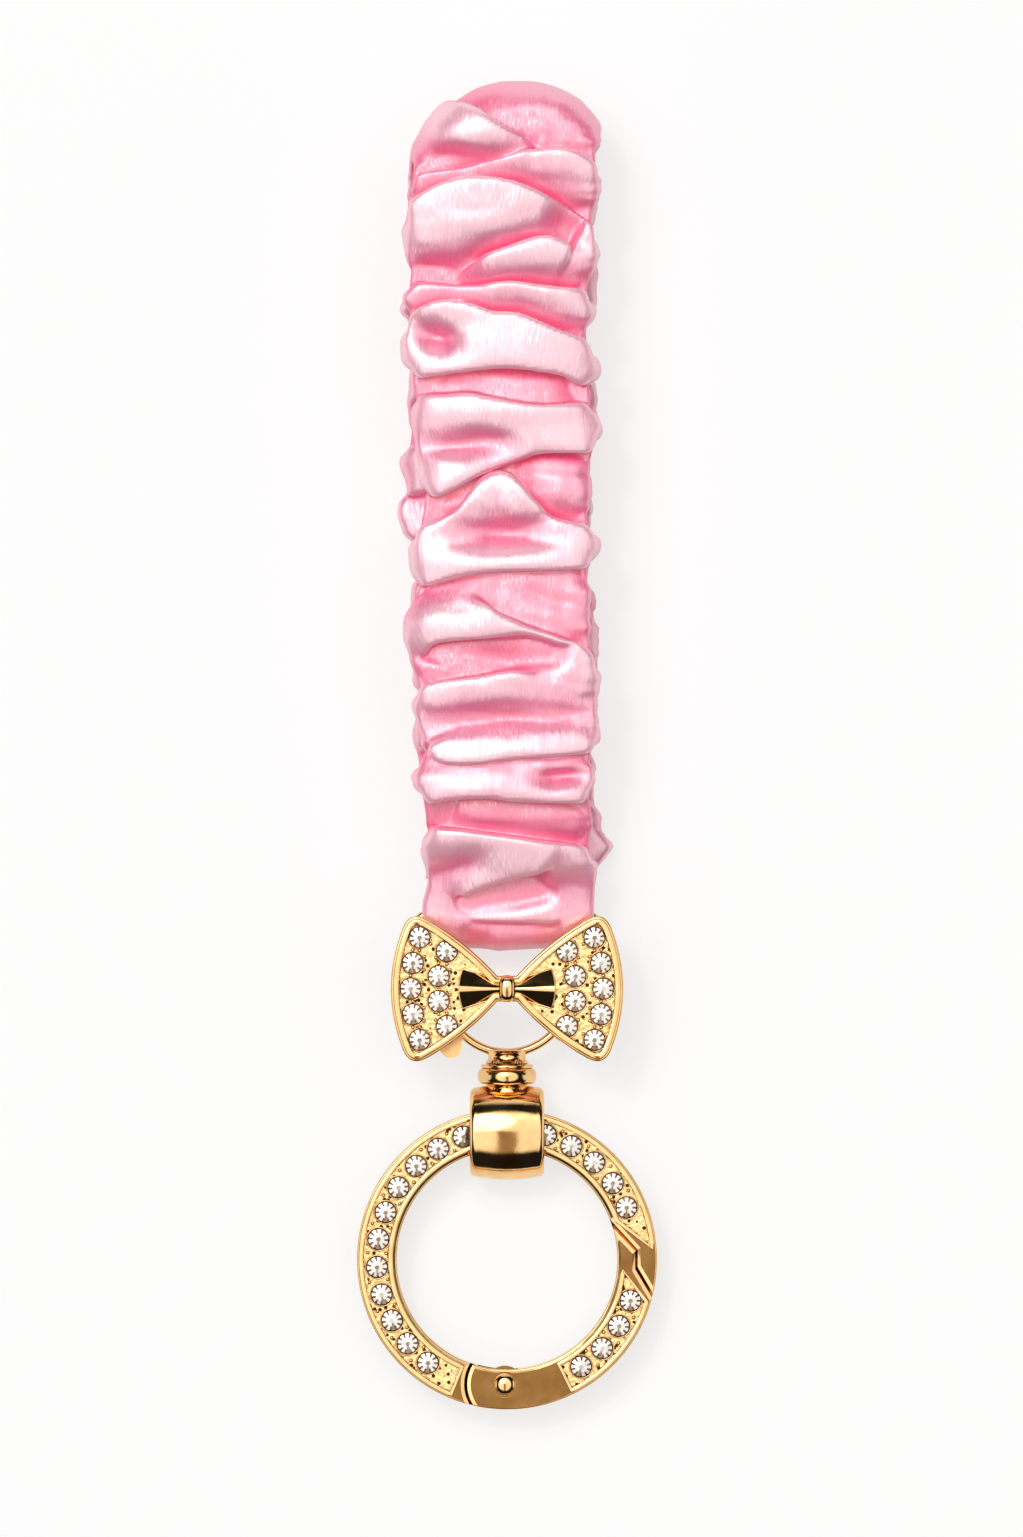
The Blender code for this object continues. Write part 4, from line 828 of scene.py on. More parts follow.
def roundWire(points, radius, closed, resolution=6):  # a wire along the points
    curve = bpy.data.curves.new("wire", "CURVE")
    curve.dimensions = "3D"
    curve.bevel_depth = radius
    curve.bevel_resolution = resolution
    curve.use_fill_caps = True
    line = curve.splines.new("POLY")
    line.use_cyclic_u = closed
    line.points.add(len(points) - 1)
    for spot, place in zip(line.points, points):
        spot.co = (*place, 1.0)
    helper = bpy.data.objects.new("wire", curve)
    mesh = bpy.data.meshes.new_from_object(helper)
    bm = bmesh.new()
    bm.from_mesh(mesh)
    bpy.data.objects.remove(helper)
    bpy.data.meshes.remove(mesh)
    bmesh.ops.remove_doubles(bm, verts=bm.verts, dist=1e-6)
    bmesh.ops.recalc_face_normals(bm, faces=bm.faces)
    return bm


def rimCrown(outline, height, half, rise):  # a low roof-shaped line on a face at this height
    bm = roundWire([(x, y, 0) for x, y in outline], half, True, 2)
    bmesh.ops.scale(bm, vec=(1, 1, rise / half), verts=bm.verts)
    bmesh.ops.translate(bm, vec=(0, 0, height), verts=bm.verts)
    markSharp(bm, 20)
    return bm


def carved(bm, tools):  # the solid after each (operation, tool) in turn
    blank = addPiece("blank", toMesh("blank", bm), [])
    helpers = [blank]
    for operation, tool in tools:
        helper = addPiece("tool", toMesh("tool", tool), [])
        step = blank.modifiers.new(operation, "BOOLEAN")
        step.operation = operation
        step.solver = "EXACT"
        step.object = helper
        helpers.append(helper)
    made = bmesh.new()
    made.from_object(blank, bpy.context.evaluated_depsgraph_get())
    for helper in helpers:
        mesh = helper.data
        bpy.data.objects.remove(helper)
        bpy.data.meshes.remove(mesh)
    bmesh.ops.remove_doubles(made, verts=made.verts, dist=1e-4)
    return made


def roundEdges(bm, edges, size, segments):
    bmesh.ops.bevel(bm, geom=edges, offset=size, offset_type="OFFSET", segments=segments, profile=0.5,
                    affect="EDGES", material=-1, clamp_overlap=True)


def softenEdges(bm, size):  # rounds each edge that turns by more than 35 degrees
    sharp = [e for e in bm.edges if e.is_manifold and e.calc_face_angle() > math.radians(35)]
    roundEdges(bm, sharp, size, 2)


def join(bm, extra):  # adds the second bmesh to the first, and frees it
    mesh = bpy.data.meshes.new("extra")
    extra.to_mesh(mesh)
    extra.free()
    bm.from_mesh(mesh)
    bpy.data.meshes.remove(mesh)


def casting(name, bm, place, body, node, finishes=None):
    # A cast piece: polished, apart from the flat faces at heights that have another finish.
    for face in bm.faces:
        level = face.calc_center_median().z
        for height, finish in (finishes or {}).items():
            if face.normal.z > 0.9 and abs(level - height) < 0.02:
                face.material_index = finish
    bmesh.ops.scale(bm, vec=(mm, mm, mm), verts=bm.verts)
    bmesh.ops.translate(bm, vec=place, verts=bm.verts)
    piece = addPiece(name, toMesh(name, bm), [polishedGold, grainedGold, roughGold], body)
    piece.modifiers.new("flat faces stay flat", "WEIGHTED_NORMAL").keep_sharp = True
    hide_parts(node)
    return piece


goldFinish = {
    "colour": "#f4c98d",
    "dull": "#dcac6c",  # in the patches that handling has dulled
    "bedColour": "#fbd99a",  # paler, where the cast skin was only brightened
    "bedDull": "#eabf74",
    "pitShadeColour": "#4a2a0c",  # painted shade, dark in the pits of the cast beds
    "patch": 3.0 * mm,
    "blotch": 1.6 * mm,
    "ripple": (1.3 * mm, 0.012 * mm),  # slight waves left by polishing: size and depth
    "skin": (0.65 * mm, 0.02 * mm),  # the casting's own skin
    "bedSkin": (0.65 * mm, 0.15 * mm),  # and where it is coarser, in the beds
    "pitSpace": 0.8 * mm,
    "pitEdge": (0.19, 0.32),
    "pitDepth": 0.14 * mm,
}


def goldMaterial(name, colours, roughness, waveSize, waveDepth, pitted=False):
    gold, tree = newMaterial(name)
    place = addNode(tree, "TexCoord").outputs["Object"]
    sizes = ((goldFinish["patch"], 3.0), (goldFinish["blotch"], 4.0), (waveSize, 2.0))
    patches, blotches, waves = [
        addNode(tree, "TexNoise", {"Vector": place, "Scale": 1 / size, "Detail": detail})
        for size, detail in sizes]
    normal = addNode(tree, "Bump", {"Height": waves, "Strength": 1.0, "Distance": waveDepth})
    rough = addNode(tree, "MapRange", (patches, 0.35, 0.65, *roughness))
    worn = addNode(tree, "MapRange", (blotches, 0.4, 0.7, 0.0, 0.5))
    fresh, dulled = [linear(goldFinish[colour]) for colour in colours]
    colour = addNode(tree, "Mix", {0: worn, 6: fresh, 7: dulled}, data_type="RGBA")
    if pitted:
        pits = addNode(tree, "TexVoronoi", {"Vector": place, "Scale": 1 / goldFinish["pitSpace"]})
        filled = addNode(tree, "MapRange", (pits, *goldFinish["pitEdge"]), interpolation_type="SMOOTHSTEP")
        normal = addNode(tree, "Bump", {"Height": filled, "Strength": 1.0, "Normal": normal,
                                        "Distance": goldFinish["pitDepth"]})
        # painted shade: a dark colour is mixed into the pits
        pitShade = linear(goldFinish["pitShadeColour"])
        colour = addNode(tree, "Mix", {0: filled, 6: pitShade, 7: colour.outputs[2]}, data_type="RGBA")
    shader = addNode(tree, "BsdfPrincipled", {
        "Base Color": colour.outputs[2], "Metallic": 1.0, "Roughness": rough, "Normal": normal})
    addNode(tree, "OutputMaterial", {"Surface": shader})
    return gold


# Polished light gold plate: sharp, slightly wavy reflections
polishedGold = goldMaterial("polished gold plate", ("colour", "dull"), (0.06, 0.14), *goldFinish["ripple"])
# The same plate over a pitted cast skin: it glitters in points, with pits darkened by painted shade
# and no clear reflection
grainedGold = goldMaterial("grained gold plate", ("bedColour", "bedDull"), (0.26, 0.38),
                           *goldFinish["bedSkin"], pitted=True)
# Plate that was never polished: an even soft shine
roughGold = goldMaterial("unpolished gold plate", ("colour", "dull"), (0.42, 0.55), *goldFinish["skin"])


# Stones: cut glass over silver foil. Ten shallow petals throw the light back, and the narrow cuts between
# them, the small table and the steep rim turn it away and stay dark.

stone = {
    "radius": 1.33,
    "petals": 10,
    "petalSpan": 21,  # degrees of each petal's 36, the rest is its cut
    "girdle": (1.0, -0.25, -0.25),  # shares of the radius: reach, height of the petals, height of the cuts
    "crown": (0.94, 0.15, -0.22),
    "star": (0.56, 0.255, 0.255),
    "table": (0.22, 0.33, 0.33),
    "cadCrown": 0.5 * mm,  # height of the CAD stones over their girdle
    "turn": 2.4,  # radians from one stone to the next
    "tilt": (0.06, 3.7),  # how far a stone may sit out of true, radians, and how that changes with its turn
    "cloud": 0.35 * mm,
    "colours": ("#f3eee8", "#cfc4b8"),  # of the foil, clear and in the clouds
    "seat": (1.1, 1.45),  # bottom and top radius of the hole, mm
    "seatDepth": 1.4,
    "seatMiddle": -0.6,  # from the bed
    "collet": (1.47, 0.1),  # raised lip round the hole: its radius and that of its section
    "colletRise": 0.02,
    "bead": 0.27,  # radius of the grains of metal that hold the stones
    "beadRise": 0.08,
}


def stoneMaterial():
    # Foil-backed cut glass: silver light from inside under a hard clear gloss, a little cloudy in patches.
    glass, tree = newMaterial("foil-backed cut glass")
    place = addNode(tree, "TexCoord").outputs["Object"]
    clouds = addNode(tree, "TexNoise", {"Vector": place, "Scale": 1 / stone["cloud"], "Detail": 2.0})
    dull = addNode(tree, "MapRange", (clouds, 0.35, 0.65, 0.04, 0.2))
    bright, cloudy = (linear(colour) for colour in stone["colours"])
    colour = addNode(tree, "Mix", {0: clouds, 6: bright, 7: cloudy}, data_type="RGBA")
    shader = addNode(tree, "BsdfPrincipled", {
        "Base Color": colour.outputs[2], "Metallic": 0.92, "Roughness": dull,
        "Coat Weight": 0.5, "Coat Roughness": 0.02, "Coat IOR": 1.6})
    addNode(tree, "OutputMaterial", {"Surface": shader})
    return glass


cutGlass = stoneMaterial()


def addStone(bm, place, turn):
    rings = (stone["girdle"], stone["crown"], stone["star"], stone["table"])
    levels, sides = len(rings) - 1, 3 * stone["petals"]
    step = 360 / stone["petals"]
    spread = (0, (step - stone["petalSpan"]) / 2, (step + stone["petalSpan"]) / 2)
    made = bmesh.ops.create_grid(bm, x_segments=sides, y_segments=levels, size=1.0)["verts"]
    tilt, change = stone["tilt"]
    lean = Matrix.Rotation(tilt * math.sin(change * turn), 3, (math.cos(turn), math.sin(turn), 0))
    for vertex in made:
        k, level = round((vertex.co.x + 1) / 2 * sides), round((vertex.co.y + 1) / 2 * levels)
        reach, petal, notch = rings[level]
        angle = turn + math.radians(k // 3 * step + spread[k % 3])
        spot = Vector((reach * math.cos(angle), reach * math.sin(angle), petal if k % 3 else notch))
        vertex.co = place + lean @ spot * stone["radius"] * mm


def makeStones(name, nodes, body):
    bm = bmesh.new()
    for k, node in enumerate(nodes):
        low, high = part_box(node)
        middle = Vector(((low.x + high.x) / 2, (low.y + high.y) / 2, high.z - stone["cadCrown"]))
        addStone(bm, middle, stone["turn"] * k)
    closeUp(bm)
    markSharp(bm, 3)
    piece = addPiece(name, toMesh(name, bm), [cutGlass], body)
    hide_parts(*nodes)


def stoneSpots(nodes, centre):  # middles of the stones, in millimetres from a piece's centre
    boxes = [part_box(node) for node in nodes]
    return [(((low.x + high.x) / 2 - centre.x) / mm, ((low.y + high.y) / 2 - centre.y) / mm)
            for low, high in boxes]


def seatTool(spots, bed):  # a tapered hole for each stone
    low, high = stone["seat"]
    bm = bmesh.new()
    for spot in spots:
        place = Matrix.Translation((*spot, bed + stone["seatMiddle"]))
        bmesh.ops.create_cone(bm, cap_ends=True, segments=24, radius1=low, radius2=high,
                              depth=stone["seatDepth"], matrix=place)
    return bm


def addCollets(bm, spots, bed):  # a thin raised lip round each stone
    radius, section = stone["collet"]
    upright = Matrix.Rotation(math.pi / 2, 4, "X")
    for x, y in spots:
        place = Matrix.Translation((x + radius, y, bed + stone["colletRise"])) @ upright
        ringVerts = bmesh.ops.create_circle(bm, segments=6, radius=section, matrix=place)["verts"]
        edges = list({edge for vertex in ringVerts for edge in vertex.link_edges})
        bmesh.ops.spin(bm, geom=ringVerts + edges, cent=(x, y, 0), axis=(0, 0, 1), dvec=(0, 0, 0),
                       angle=2 * math.pi, steps=24, use_merge=True)


def addBeads(bm, spots, bed):  # grains raised from the bed to hold the stones
    for spot in spots:
        place = Matrix.Translation((*spot, bed + stone["beadRise"]))
        bmesh.ops.create_uvsphere(bm, u_segments=10, v_segments=6, radius=stone["bead"], matrix=place)


bowNodes = [f"bow_stone_{k:02d}" for k in range(1, 19)]
frameNodes = [f"ring_stone_{k:02d}" for k in range(1, 19)]
gateNodes = [f"ring_stone_{k:02d}" for k in range(19, 23)]
makeStones("bowStones", bowNodes, "bow")
makeStones("frameStones", frameNodes, "ring")
makeStones("gateStones", gateNodes, "gate")
print("stones set")


# Strap ring: a flat-wire D with the bar inside the strap, and the swivel's neck below

strapRing = {
    "wire": 1.1,  # across, seen from the front
    "depth": 2.4,  # front to back
    "side": 11.45,  # middle of the side wires
    "corner": 1.6,
    "drop": 17.3,  # bar to the middle of the lower arc
    "lowerArc": 7.95,
    "joinAngle": -38,
    "neck": 2.75,
    "neckTop": 0.4,  # over the middle of the lower arc
    "neckEnd": 18.7,
    "neckEdge": (0.15, 0.12),  # inwards and along
    "waist": 0.4,
}


def strapRingLine():  # right half from the middle of the bar to the lowest point, then its mirror image
    side, corner, reach = strapRing["side"], strapRing["corner"], strapRing["lowerArc"]
    half = [(0, 0)] + arcPoints((side - corner, -corner), corner, 90, 0, 10)
    lower = arcPoints((0, reach - strapRing["drop"]), reach, strapRing["joinAngle"], -90, 24)
    angle = math.radians(strapRing["joinAngle"])
    start, end = Vector((side, -corner)), Vector(lower[0])
    pull = (end - start).length / 3
    knots = (start, start - Vector((0, pull)), end - Vector((math.sin(angle), -math.cos(angle))) * pull, end)
    for t in np.linspace(0, 1, 20)[1:-1]:
        half.append(tuple(knots[0] * (1 - t) ** 3 + knots[1] * 3 * t * (1 - t) ** 2
                          + knots[2] * 3 * t * t * (1 - t) + knots[3] * t ** 3))
    half += lower
    return half + [(-x, y) for x, y in half[-2:0:-1]]


def makeStrapRing():
    bm = roundWire([(x, y, 0) for x, y in strapRingLine()], strapRing["wire"] / 2, True)
    stretch = (strapRing["depth"] - strapRing["wire"]) / 2  # round front and back, straight sides
    for vertex in bm.verts:
        vertex.co.z += stretch if vertex.co.z > 0 else -stretch
    top, end, radius = strapRing["neckTop"] - strapRing["drop"], -strapRing["neckEnd"], strapRing["neck"]
    inwards, along = strapRing["neckEdge"]
    profile = [(0, top), (radius - inwards, top)]
    for t in np.linspace(0, 1, 15):
        drawnIn = strapRing["waist"] * math.sin(math.pi * t)
        profile.append((radius - drawnIn, top - along + (end - top + 2 * along) * t))
    profile += [(radius - inwards, end), (0, end)]
    join(bm, turned(profile, 48, "Y"))
    markSharp(bm, 40)
    casting("strapRing", bm, bar, "bow", "strap_ring")


makeStrapRing()
print("strap ring bent")


# Bow: a cast plate with raised rims, stones, folded pleats and a knot

bow = {
    "drop": 9.15,  # bar to the middle of the bow
    "lift": 4.0,  # bar axis to the back of the plate
    "thick": 2.5,
    "bed": 1.95,  # height of the sunk bed over the back
    "edgeRound": 0.25,
    "soft": 0.1,  # round on the cut edges
    "rim": (0.46, 0.36, 0.2),  # raised rim: in from the rounded edge, half width and rise
    "waist": (1.2, 1.6),
    "edge": 13.05,  # where the outer edge starts, and how far it bulges
    "edgeBulge": 1.45,
    "halfHeight": 9.0,
    "cornerDrop": 1.5,
    "inner": 9.95,  # inner end of each corner
    "innerDrop": 0.35,
    "cornerBulge": 0.95,
    "slopeBulge": 0.45,
    "pleatSpan": (0.7, 5.5),  # from the knot to the outer end
    "pleatHalf": (1.0, 2.45),  # half height at those ends
    "pleatRise": (0.75, 1.6),  # ridge over the bed
    "pleatFold": (0.2, 0.13, 0.9),  # how the ridge is rounded and lifted, and the power of its slopes
    "pleatWall": (0.05, -0.4),  # top and foot of a pleat's walls over the bed
    "pleatBow": 0.45,  # how far the outer end bulges
    "pleatEdge": (0.15, 0.1),  # bead round a pleat: radius and height over the bed
    "knot": (1.15, 1.72, 1.6),  # half width, half height, rise over the bed
    "knotPower": 0.7,  # under 1 is squarer than an oval
    "beadReach": 1.62,  # middle of a stone to the grains round it
    "beadClear": 1.58,  # least distance of a grain from any stone, and from another grain
    "beadApart": 0.75,
    "beadField": (6.6, 12.6, 0.02),  # where grains may sit: from the pleats to the curved outer edge,
    "beadTop": (0.72, 0.3, 7.6),  # and under the sloping and the level top
    "foot": 1.4,
    "footX": 7.03,
    "footTop": -4.41,
    "feet": ((-1, -7.29), (1, -5.22)),
    "footBack": -2.65,
    "footFront": 0.4,
}


def bowOutline():
    edge, inner, high = bow["edge"], bow["inner"], bow["halfHeight"]
    upper = (bow["waist"], (inner, high - bow["innerDrop"]), (edge, high - bow["cornerDrop"]))
    knots = upper + tuple((x, -y) for x, y in reversed(upper))
    slope, corner = (bow["slopeBulge"], 16), (bow["cornerBulge"], 12)
    half = [bow["waist"]]
    for start, end, bend in zip(knots, knots[1:], (slope, corner, (bow["edgeBulge"], 24), corner, slope)):
        half += bowedLine(start, end, *bend)
    return half + [(-x, y) for x, y in reversed(half)]


def pleat(side):  # a fan folded to a ridge along its middle
    rounding, lifted, power = bow["pleatFold"]
    wallTop, wallFoot = (bow["bed"] + height for height in bow["pleatWall"])
    spans = (bow["pleatSpan"], bow["pleatHalf"], bow["pleatRise"])
    bm = bmesh.new()
    bmesh.ops.create_grid(bm, x_segments=12, y_segments=28, size=1.0)
    for vertex in bm.verts:
        run, across = (vertex.co.x + 1) / 2, vertex.co.y
        x, half, rise = (near + (far - near) * run for near, far in spans)
        ridge = math.hypot(across, rounding) - lifted
        x += bow["pleatBow"] * run ** 4 * (1 - across * across)
        vertex.co = (side * x, half * across, wallTop + rise * max(0, 1 - ridge ** power))
    rim = [e for e in bm.edges if e.is_boundary]
    walls = bmesh.ops.extrude_edge_only(bm, edges=rim)["geom"]
    for vertex in [item for item in walls if isinstance(item, bmesh.types.BMVert)]:
        vertex.co.z = wallFoot
    closeUp(bm)
    markSharp(bm, 50)
    return bm


def pleatEdge(side):  # the bead round a pleat
    (near, far), (small, large) = bow["pleatSpan"], bow["pleatHalf"]
    radius, rise = bow["pleatEdge"]
    line = [(far + bow["pleatBow"] * (1 - k * k), large * k) for k in np.linspace(-1, 1, 13)]
    line += [(near, small), (near, -small)]
    return roundWire([(side * x, y, bow["bed"] + rise) for x, y in line], radius, True)


def knot():
    bm = bmesh.new()
    bmesh.ops.create_uvsphere(bm, u_segments=32, v_segments=24, radius=1.0)
    for vertex in bm.verts:
        vertex.co = Vector([math.copysign(abs(c) ** bow["knotPower"], c) for c in vertex.co])
    bmesh.ops.scale(bm, vec=bow["knot"], verts=bm.verts)
    bmesh.ops.translate(bm, vec=(0, 0, bow["bed"]), verts=bm.verts)
    return bm


def bowBeads(spots):  # one on each side of a stone where the bed is free
    (near, far, curve), (slope, start, top) = bow["beadField"], bow["beadTop"]
    found = []
    for spot in spots:
        for bead in map(Vector, arcPoints(spot, bow["beadReach"], 30, 330, 5)):
            x, y = abs(bead.x), abs(bead.y)
            inside = near < x < far - curve * y ** 2 and y < min(slope * x + start, top)
            clear = all((bead - Vector(other)).length > bow["beadClear"] for other in spots)
            apart = all((bead - other).length > bow["beadApart"] for other in found)
            if inside and clear and apart:
                found.append(bead)
    return found


def makeBow():
    centre = bar + Vector((0, -bow["drop"], bow["lift"])) * mm
    bm = prism(bowOutline(), 0, bow["thick"])
    upper = [e for e in bm.edges if all(abs(v.co.z - bow["thick"]) < 1e-4 for v in e.verts)]
    roundEdges(bm, upper, bow["edgeRound"], 5)
    top = max(bm.faces, key=lambda face: face.calc_center_median().z * 100 + face.calc_area())
    inset, rimHalf, rimRise = bow["rim"]
    bmesh.ops.inset_region(bm, faces=[top], thickness=inset, use_even_offset=True)
    rimLine = [tuple(vertex.co.xy) for vertex in top.verts]
    sunk = bmesh.ops.extrude_discrete_faces(bm, faces=[top])["faces"][0]
    bmesh.ops.translate(bm, vec=(0, 0, bow["bed"] - bow["thick"]), verts=sunk.verts)
    spots = stoneSpots(bowNodes, centre)
    tools = [("DIFFERENCE", seatTool(spots, bow["bed"]))]
    for side, low in bow["feet"]:
        x = side * bow["footX"]
        outline = capsule((x, bow["footTop"]), (x, low), bow["foot"])
        tools.append(("UNION", prism(outline, bow["footBack"], bow["footFront"])))
    bm = carved(bm, tools)
    softenEdges(bm, bow["soft"])
    markSharp(bm, 30)
    join(bm, rimCrown(rimLine, bow["thick"], rimHalf, rimRise))
    for side in (1, -1):
        join(bm, pleat(side))
        join(bm, pleatEdge(side))
    join(bm, knot())
    addCollets(bm, spots, bow["bed"])
    addBeads(bm, bowBeads(spots), bow["bed"])
    casting("bowPlate", bm, centre, "bow", "bow_plate", {bow["bed"]: 1, bow["footFront"]: 2})


makeBow()
print("bow cast")


# Swivel collar and the barrel that holds the ring

collar = {
    "bore": 1.25,
    "top": -0.04,  # from the end of the neck
    "ridge": (3.3, 0.25),  # reach and half length of the upper ridge
    "bead": (3.7, 1.0),  # and of the large bead under it
    "groove": 3.05,
    "fullness": 0.8,  # of both: 1 is an oval, 0 a box
}
barrel = {
    "radius": 6.0,  # up and down, and front to back as a share of that
    "depthShare": 0.84,
    "halfWide": 4.65,
    "wall": 1.7,
    "crown": 0.55,  # drop from the middle to the ends
    "edge": 0.75,
    "eyeEdge": (0.3, 0.09),  # round edge of the eye: its width, and how far in its middle point lies
    "boss": 2.5,
    "bossRise": 0.3,
    "bossRoot": (1.2, 0.3),  # how far it goes in, and how much wider it is there
    "bossEdge": 0.12,
}


def makeCollar():
    place, groove = collar["top"], collar["groove"]
    profile = [(collar["bore"], place)]
    for reach, half in (collar["ridge"], collar["bead"]):
        for out, along in arcPoints((0, 0), 1, 90, -90, 12):
            swell = (reach - groove) * out ** collar["fullness"] if out > 1e-6 else 0.0
            profile.append((groove + swell, place - half + half * along))
        place -= 2 * half
    profile.append((collar["bore"], place))
    bm = turned(profile, 64, "Y")
    markSharp(bm, 40)
    casting("swivelCollar", bm, joints["swivel"], "holder", "swivel_collar")


def makeBarrel():
    half, edge, radius = barrel["halfWide"], barrel["edge"], barrel["radius"]
    hole, (wide, left) = radius - barrel["wall"], barrel["eyeEdge"]
    middle = np.linspace(edge - half, half - edge, 25)
    profile = [(radius - barrel["crown"] * (x / half) ** 2, x) for x in middle]
    corner = arcPoints((half - edge, 0), edge, 90, 0, 8)
    end = [(profile[-1][0] - edge + drop, x) for x, drop in corner[1:]]
    end += [(hole + wide, half), (hole + left, half - left), (hole, half - wide)]
    profile += end + [(reach, -x) for reach, x in reversed(end)]
    bm = turned(profile, 96, "X")
    bmesh.ops.scale(bm, vec=(1, 1, barrel["depthShare"]), verts=bm.verts)
    top, boss, cut = radius + barrel["bossRise"], barrel["boss"], barrel["bossEdge"]
    deep, wider = barrel["bossRoot"]
    bossLine = [(0, top - deep), (boss + wider, top - deep), (boss, top - cut), (boss - cut, top), (0, top)]
    join(bm, turned(bossLine, 48, "Y"))
    markSharp(bm, 40)
    casting("ringHolder", bm, joints["ring_swing"], "holder", "ring_holder")


makeCollar()
makeBarrel()
print("swivel turned")


# Spring-gate ring: a stone-set frame, and a gate that hinges at the bottom and latches at the right

ring = {
    "outer": 18.8,
    "inner": 13.8,
    "half": 1.6,  # half the thickness
    "face": 1.42,  # height of the plain face, and of the sunk bed, over the middle plane
    "bed": 0.95,
    "edge": 0.2,  # round on the ring's own edges
    "soft": 0.18,  # and on its cut ones
    "crisp": 12.5,  # degrees over which an edge stays sharp
    "slope": ((0.2, 0.05), (0.45, 0.11)),  # the face falls to the outer and the inner edge: width, drop
    "rimPlace": (0.56, 0.8),  # raised line round a bed: in from the outer and the inner edge
    "rim": (0.29, 0.17),  # its half width and rise
    "beadShift": 1.15,  # the grains sit this far to each side of the mid line
    "hang": 0.4,  # mid line of the ring over the middle of the eye
    "spare": 0.3,  # how far tools run on past what they cut
    "overshoot": 0.5,
    "clearance": 0.15,
    "frameFrom": -24,  # where the frame starts and the gate ends, past the latch
    "gateTo": 386,
    "gateFrom": -20,  # past the hinge
    "latchStep": 1.1,
    "latchSlopes": (1.09, 1.7),
    "latchGap": 0.42,
    "latchReach": 3.75,
    "latchShift": -0.1,  # of the step from the mid line
    "latchWay": (0.8, 0.6),  # the way the two ends part
    "chamfer": (0.42, 0.14),  # along the latch and the round ends: width and depth
    "lipLevel": 0.5,  # under this a lip of the frame reaches below the gate
    "lipFall": 0.8,  # slope of the lip's top, which keeps the groove dark
    "lip": (0.3, 0.55, 0.12),  # its reach, how far the gate is cut back for it, and the gap above
    "lipRoot": -1.2,
    "lipSpan": (200, 300),
    "hingeAngle": 269,
    "hingeRadius": 15.65,
    "gateEnd": 4.7,  # round ends about the hinge
    "socketEnd": 5.1,
    "endSweep": (110, 250),
    "endFar": 1.6,
    "frameBed": (4.5, 19.5),  # latch end of each bed, at the outer and the inner edge
    "frameBlock": 0.9,  # from the socket to the bed
    "gateBed": (-16.8, -5.4),
    "gateBlock": -63.7,
    "tongue": 1.6,  # half width
    "knuckle": 2.3,  # shows as a lip inside the ring
    "knuckleRoom": 0.2,
    "tongueThick": 0.6,
    "slot": 1.8,
    "slotSwing": 145,  # how far the slot opens for the tongue
    "rivet": 0.75,
    "rivetHead": 1.35,
    "rivetDome": 0.75,
    "rivetRim": 0.1,
    "rivetLift": 0.05,
    "rivetBack": 0.35,  # thickness of its back head, and depth of the hole for that
    "backSink": 0.4,
    "sink": 1.65,
    "sinkDepth": 0.2,
}
ringMid = (ring["outer"] + ring["inner"]) / 2
ringCentre = joints["ring_swing"] - Vector((0, ringMid - ring["hang"], 0)) * mm
hingeSpot = onCircle((0, 0), ring["hingeRadius"], ring["hingeAngle"])


def hingeMeet(reach, radius):  # angle on the circle of this radius that lies at this reach from the hinge
    far = ring["hingeRadius"]
    cosine = (far ** 2 + radius ** 2 - reach ** 2) / (2 * far * radius)
    return ring["hingeAngle"] - math.degrees(math.acos(cosine))


def hingeEnd(reach):  # round end about the hinge, from past the outer edge to past the inner one
    angles = []
    for radius in (ring["outer"] + ring["overshoot"], ring["inner"] - ring["overshoot"]):
        x, y = onCircle((0, 0), radius, hingeMeet(reach, radius))
        angles.append(math.degrees(math.atan2(y - hingeSpot[1], x - hingeSpot[0])) % 360)
    return arcPoints(hingeSpot, reach, *angles, 16)


def latchTool(side, gap, low, high, fall=0.0, flare=0.0):
    # What lies past the stepped latch line, less half of the gap. Its floor may fall, its walls may flare.
    reach, step, middle = ring["latchReach"], ring["latchStep"], ringMid + ring["latchShift"]
    inner, outer = ring["latchSlopes"]
    wayX, wayY = ring["latchWay"]
    shift = -side * gap / 2
    line = [(-reach, step + inner * reach), (0, step), (0, -step), (reach, -step - outer * reach)]
    outline = [(middle + x + wayX * shift, y + wayY * shift) for x, y in line]
    outline += [(ringMid + 2 * reach, side * 3 * reach), (ringMid - 2 * reach, side * 3 * reach)]
    bm = prism(outline, low, high)
    for vertex in bm.verts:
        x, y, z = vertex.co
        if z < (low + high) / 2:
            vertex.co.z = low + side * fall * (wayX * (ringMid - x) - wayY * y)
        else:
            vertex.co.xy = (x - wayX * side * flare, y - wayY * side * flare)
    return bm


def bedOutline(outerSpan, innerSpan, steps):
    outline = arcPoints((0, 0), ring["outer"] - ring["rimPlace"][0], *outerSpan, steps)
    return outline + arcPoints((0, 0), ring["inner"] + ring["rimPlace"][1], *reversed(innerSpan), steps)


def swept(section, centre, start, end, steps):  # (radius, height) points, spun from one angle to the other
    bm = bmesh.new()
    face = bm.faces.new([bm.verts.new((r, 0, z)) for r, z in section])
    first = Matrix.Rotation(math.radians(start), 3, "Z")
    bmesh.ops.rotate(bm, cent=(0, 0, 0), matrix=first, verts=bm.verts)
    bmesh.ops.spin(bm, geom=[face] + list(face.edges) + list(face.verts), cent=(0, 0, 0), axis=(0, 0, 1),
                   dvec=(0, 0, 0), angle=math.radians(end - start), steps=steps, use_duplicate=False)
    bmesh.ops.translate(bm, vec=(*centre, 0), verts=bm.verts)
    bmesh.ops.recalc_face_normals(bm, faces=bm.faces)
    return bm


